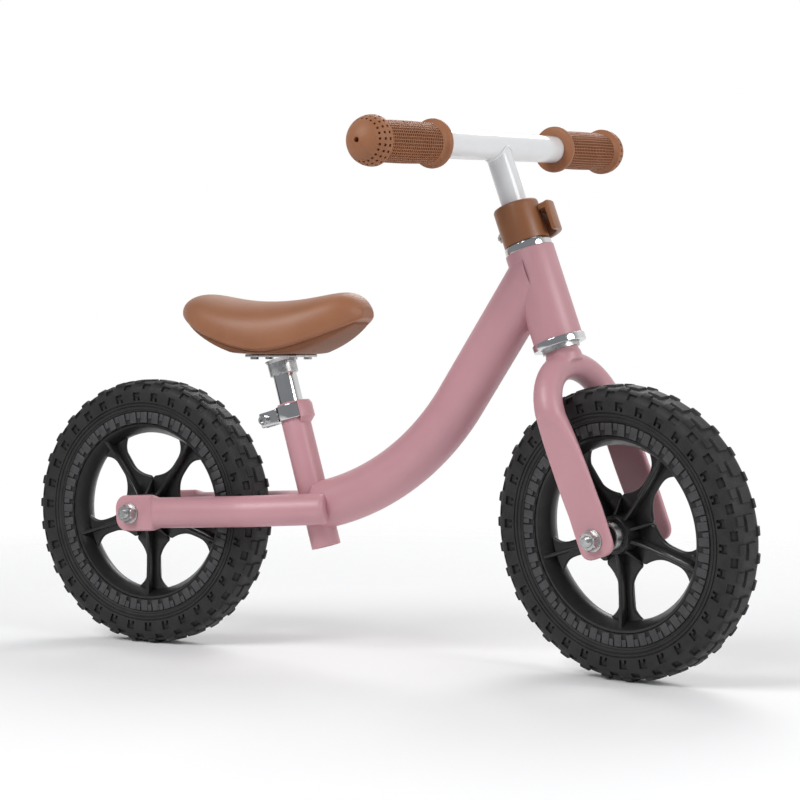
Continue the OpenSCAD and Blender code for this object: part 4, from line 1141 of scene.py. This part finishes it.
def saddle_section(share, count=56):
    """One slice of the saddle: a crowned top and a rolled lower edge round a flat base."""
    wide = 0.0625 * (1 - 0.325 * share ** 1.4) * math.sqrt(max(0, 1 - abs(2 * share - 1) ** 2.5))
    wide += 0.0015
    low = saddle_low + 0.0395 * (abs(share - 0.522) / 0.5) ** 1.6
    rise = 0.0141 if share < 0.48 else 0.0115
    top = 0.3745 + rise * (abs(share - 0.48) / 0.4) ** 2 - 0.033 * abs(2 * share - 1) ** 9
    top = max(low + 0.003, top)
    x = saddle_tail + saddle_length * share
    points = []
    upper = count * 5 // 7
    for number in range(upper):
        angle = math.pi * number / (upper - 1)
        points.append(Vector((x, wide * math.cos(angle),
                              low + 0.0015 + (top - low - 0.0018) * math.sin(angle) ** 0.58)))
    under = count - upper
    for number in range(under):
        along = -1 + 2 * (number + 0.5) / under
        edge = wide - min(0.002, wide * 0.3)
        points.append(Vector((x, edge * along,
                              low + 0.0004)))
    return points


shares = [0.012 + 0.976 * (1 - math.cos(math.pi * step / 40)) / 2 for step in range(41)]
bm = bmesh.new()
sweep(bm, [saddle_section(share) for share in shares])
bmesh.ops.smooth_vert(bm, verts=bm.verts, factor=0.35, use_axis_x=True, use_axis_y=True,
                      use_axis_z=True)
saddle = settle(bm, "saddle_padded", saddle_skin, "seat", "saddle_skin", "saddle_cover",
                sharp=60)
finer = saddle.modifiers.new("finer", "SUBSURF")
finer.levels = finer.render_levels = 1

pan_plastic = mottled("brown_pan", (0.200, 0.075, 0.030), (0.235, 0.090, 0.038),
                      patch=(50, 3), rough=(500, 3, 0.5, 0.62), bump=(900, 2, 0.0001),
                      Specular_IOR_Level=0.4)


def pan_section(share, count=24):
    """One slice of the pan: flat against the cover, rounded below, thin at both tips."""
    cover = saddle_section(share)
    wide = max(point.y for point in cover) - pan_inset
    top = min(point.z for point in cover)
    foot = max(bracket_high.z, top - pan_depth * (1 - abs(2 * share - 1) ** 3))
    return [Vector((cover[0].x, wide * math.cos(angle),
                    top - (top - foot) * math.sin(angle) ** 0.4))
            for angle in (math.pi * step / (count - 1) for step in range(count))]


pan_inset, pan_depth = 0.007, 0.0095
bm = bmesh.new()
sweep(bm, [pan_section(share) for share in shares[5:-5]])
settle(bm, "saddle_pan_moulded", pan_plastic, "seat", "pan_plastic", "saddle_base", sharp=50)


# ---- What stays as the plain CAD shape ----
# Turned and bought parts that are right as they are: the axle spacers, the bearings, the
# headset's cones and balls, the steerer, the clamp's eye bolt, nut and pin, and the saddle's
# screws.

def dress(finish, *nodes):
    for node in nodes:
        mesh = frame["nodes"][node].data
        mesh.materials.clear()
        mesh.materials.append(finish)


dress(zinc, "rear_axle_spacers", "rear_inner_races", "rear_bearing_balls",
      "rear_outer_races", "front_axle_spacers", "front_inner_races", "front_bearing_balls",
      "front_outer_races", "headset_cones", "headset_balls", "clamp_eye_bolt", "clamp_nut",
      "lever_pin", "saddle_screws")
dress(pink_paint, "steerer_tube")

bpy.context.view_layer.update()
low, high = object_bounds()
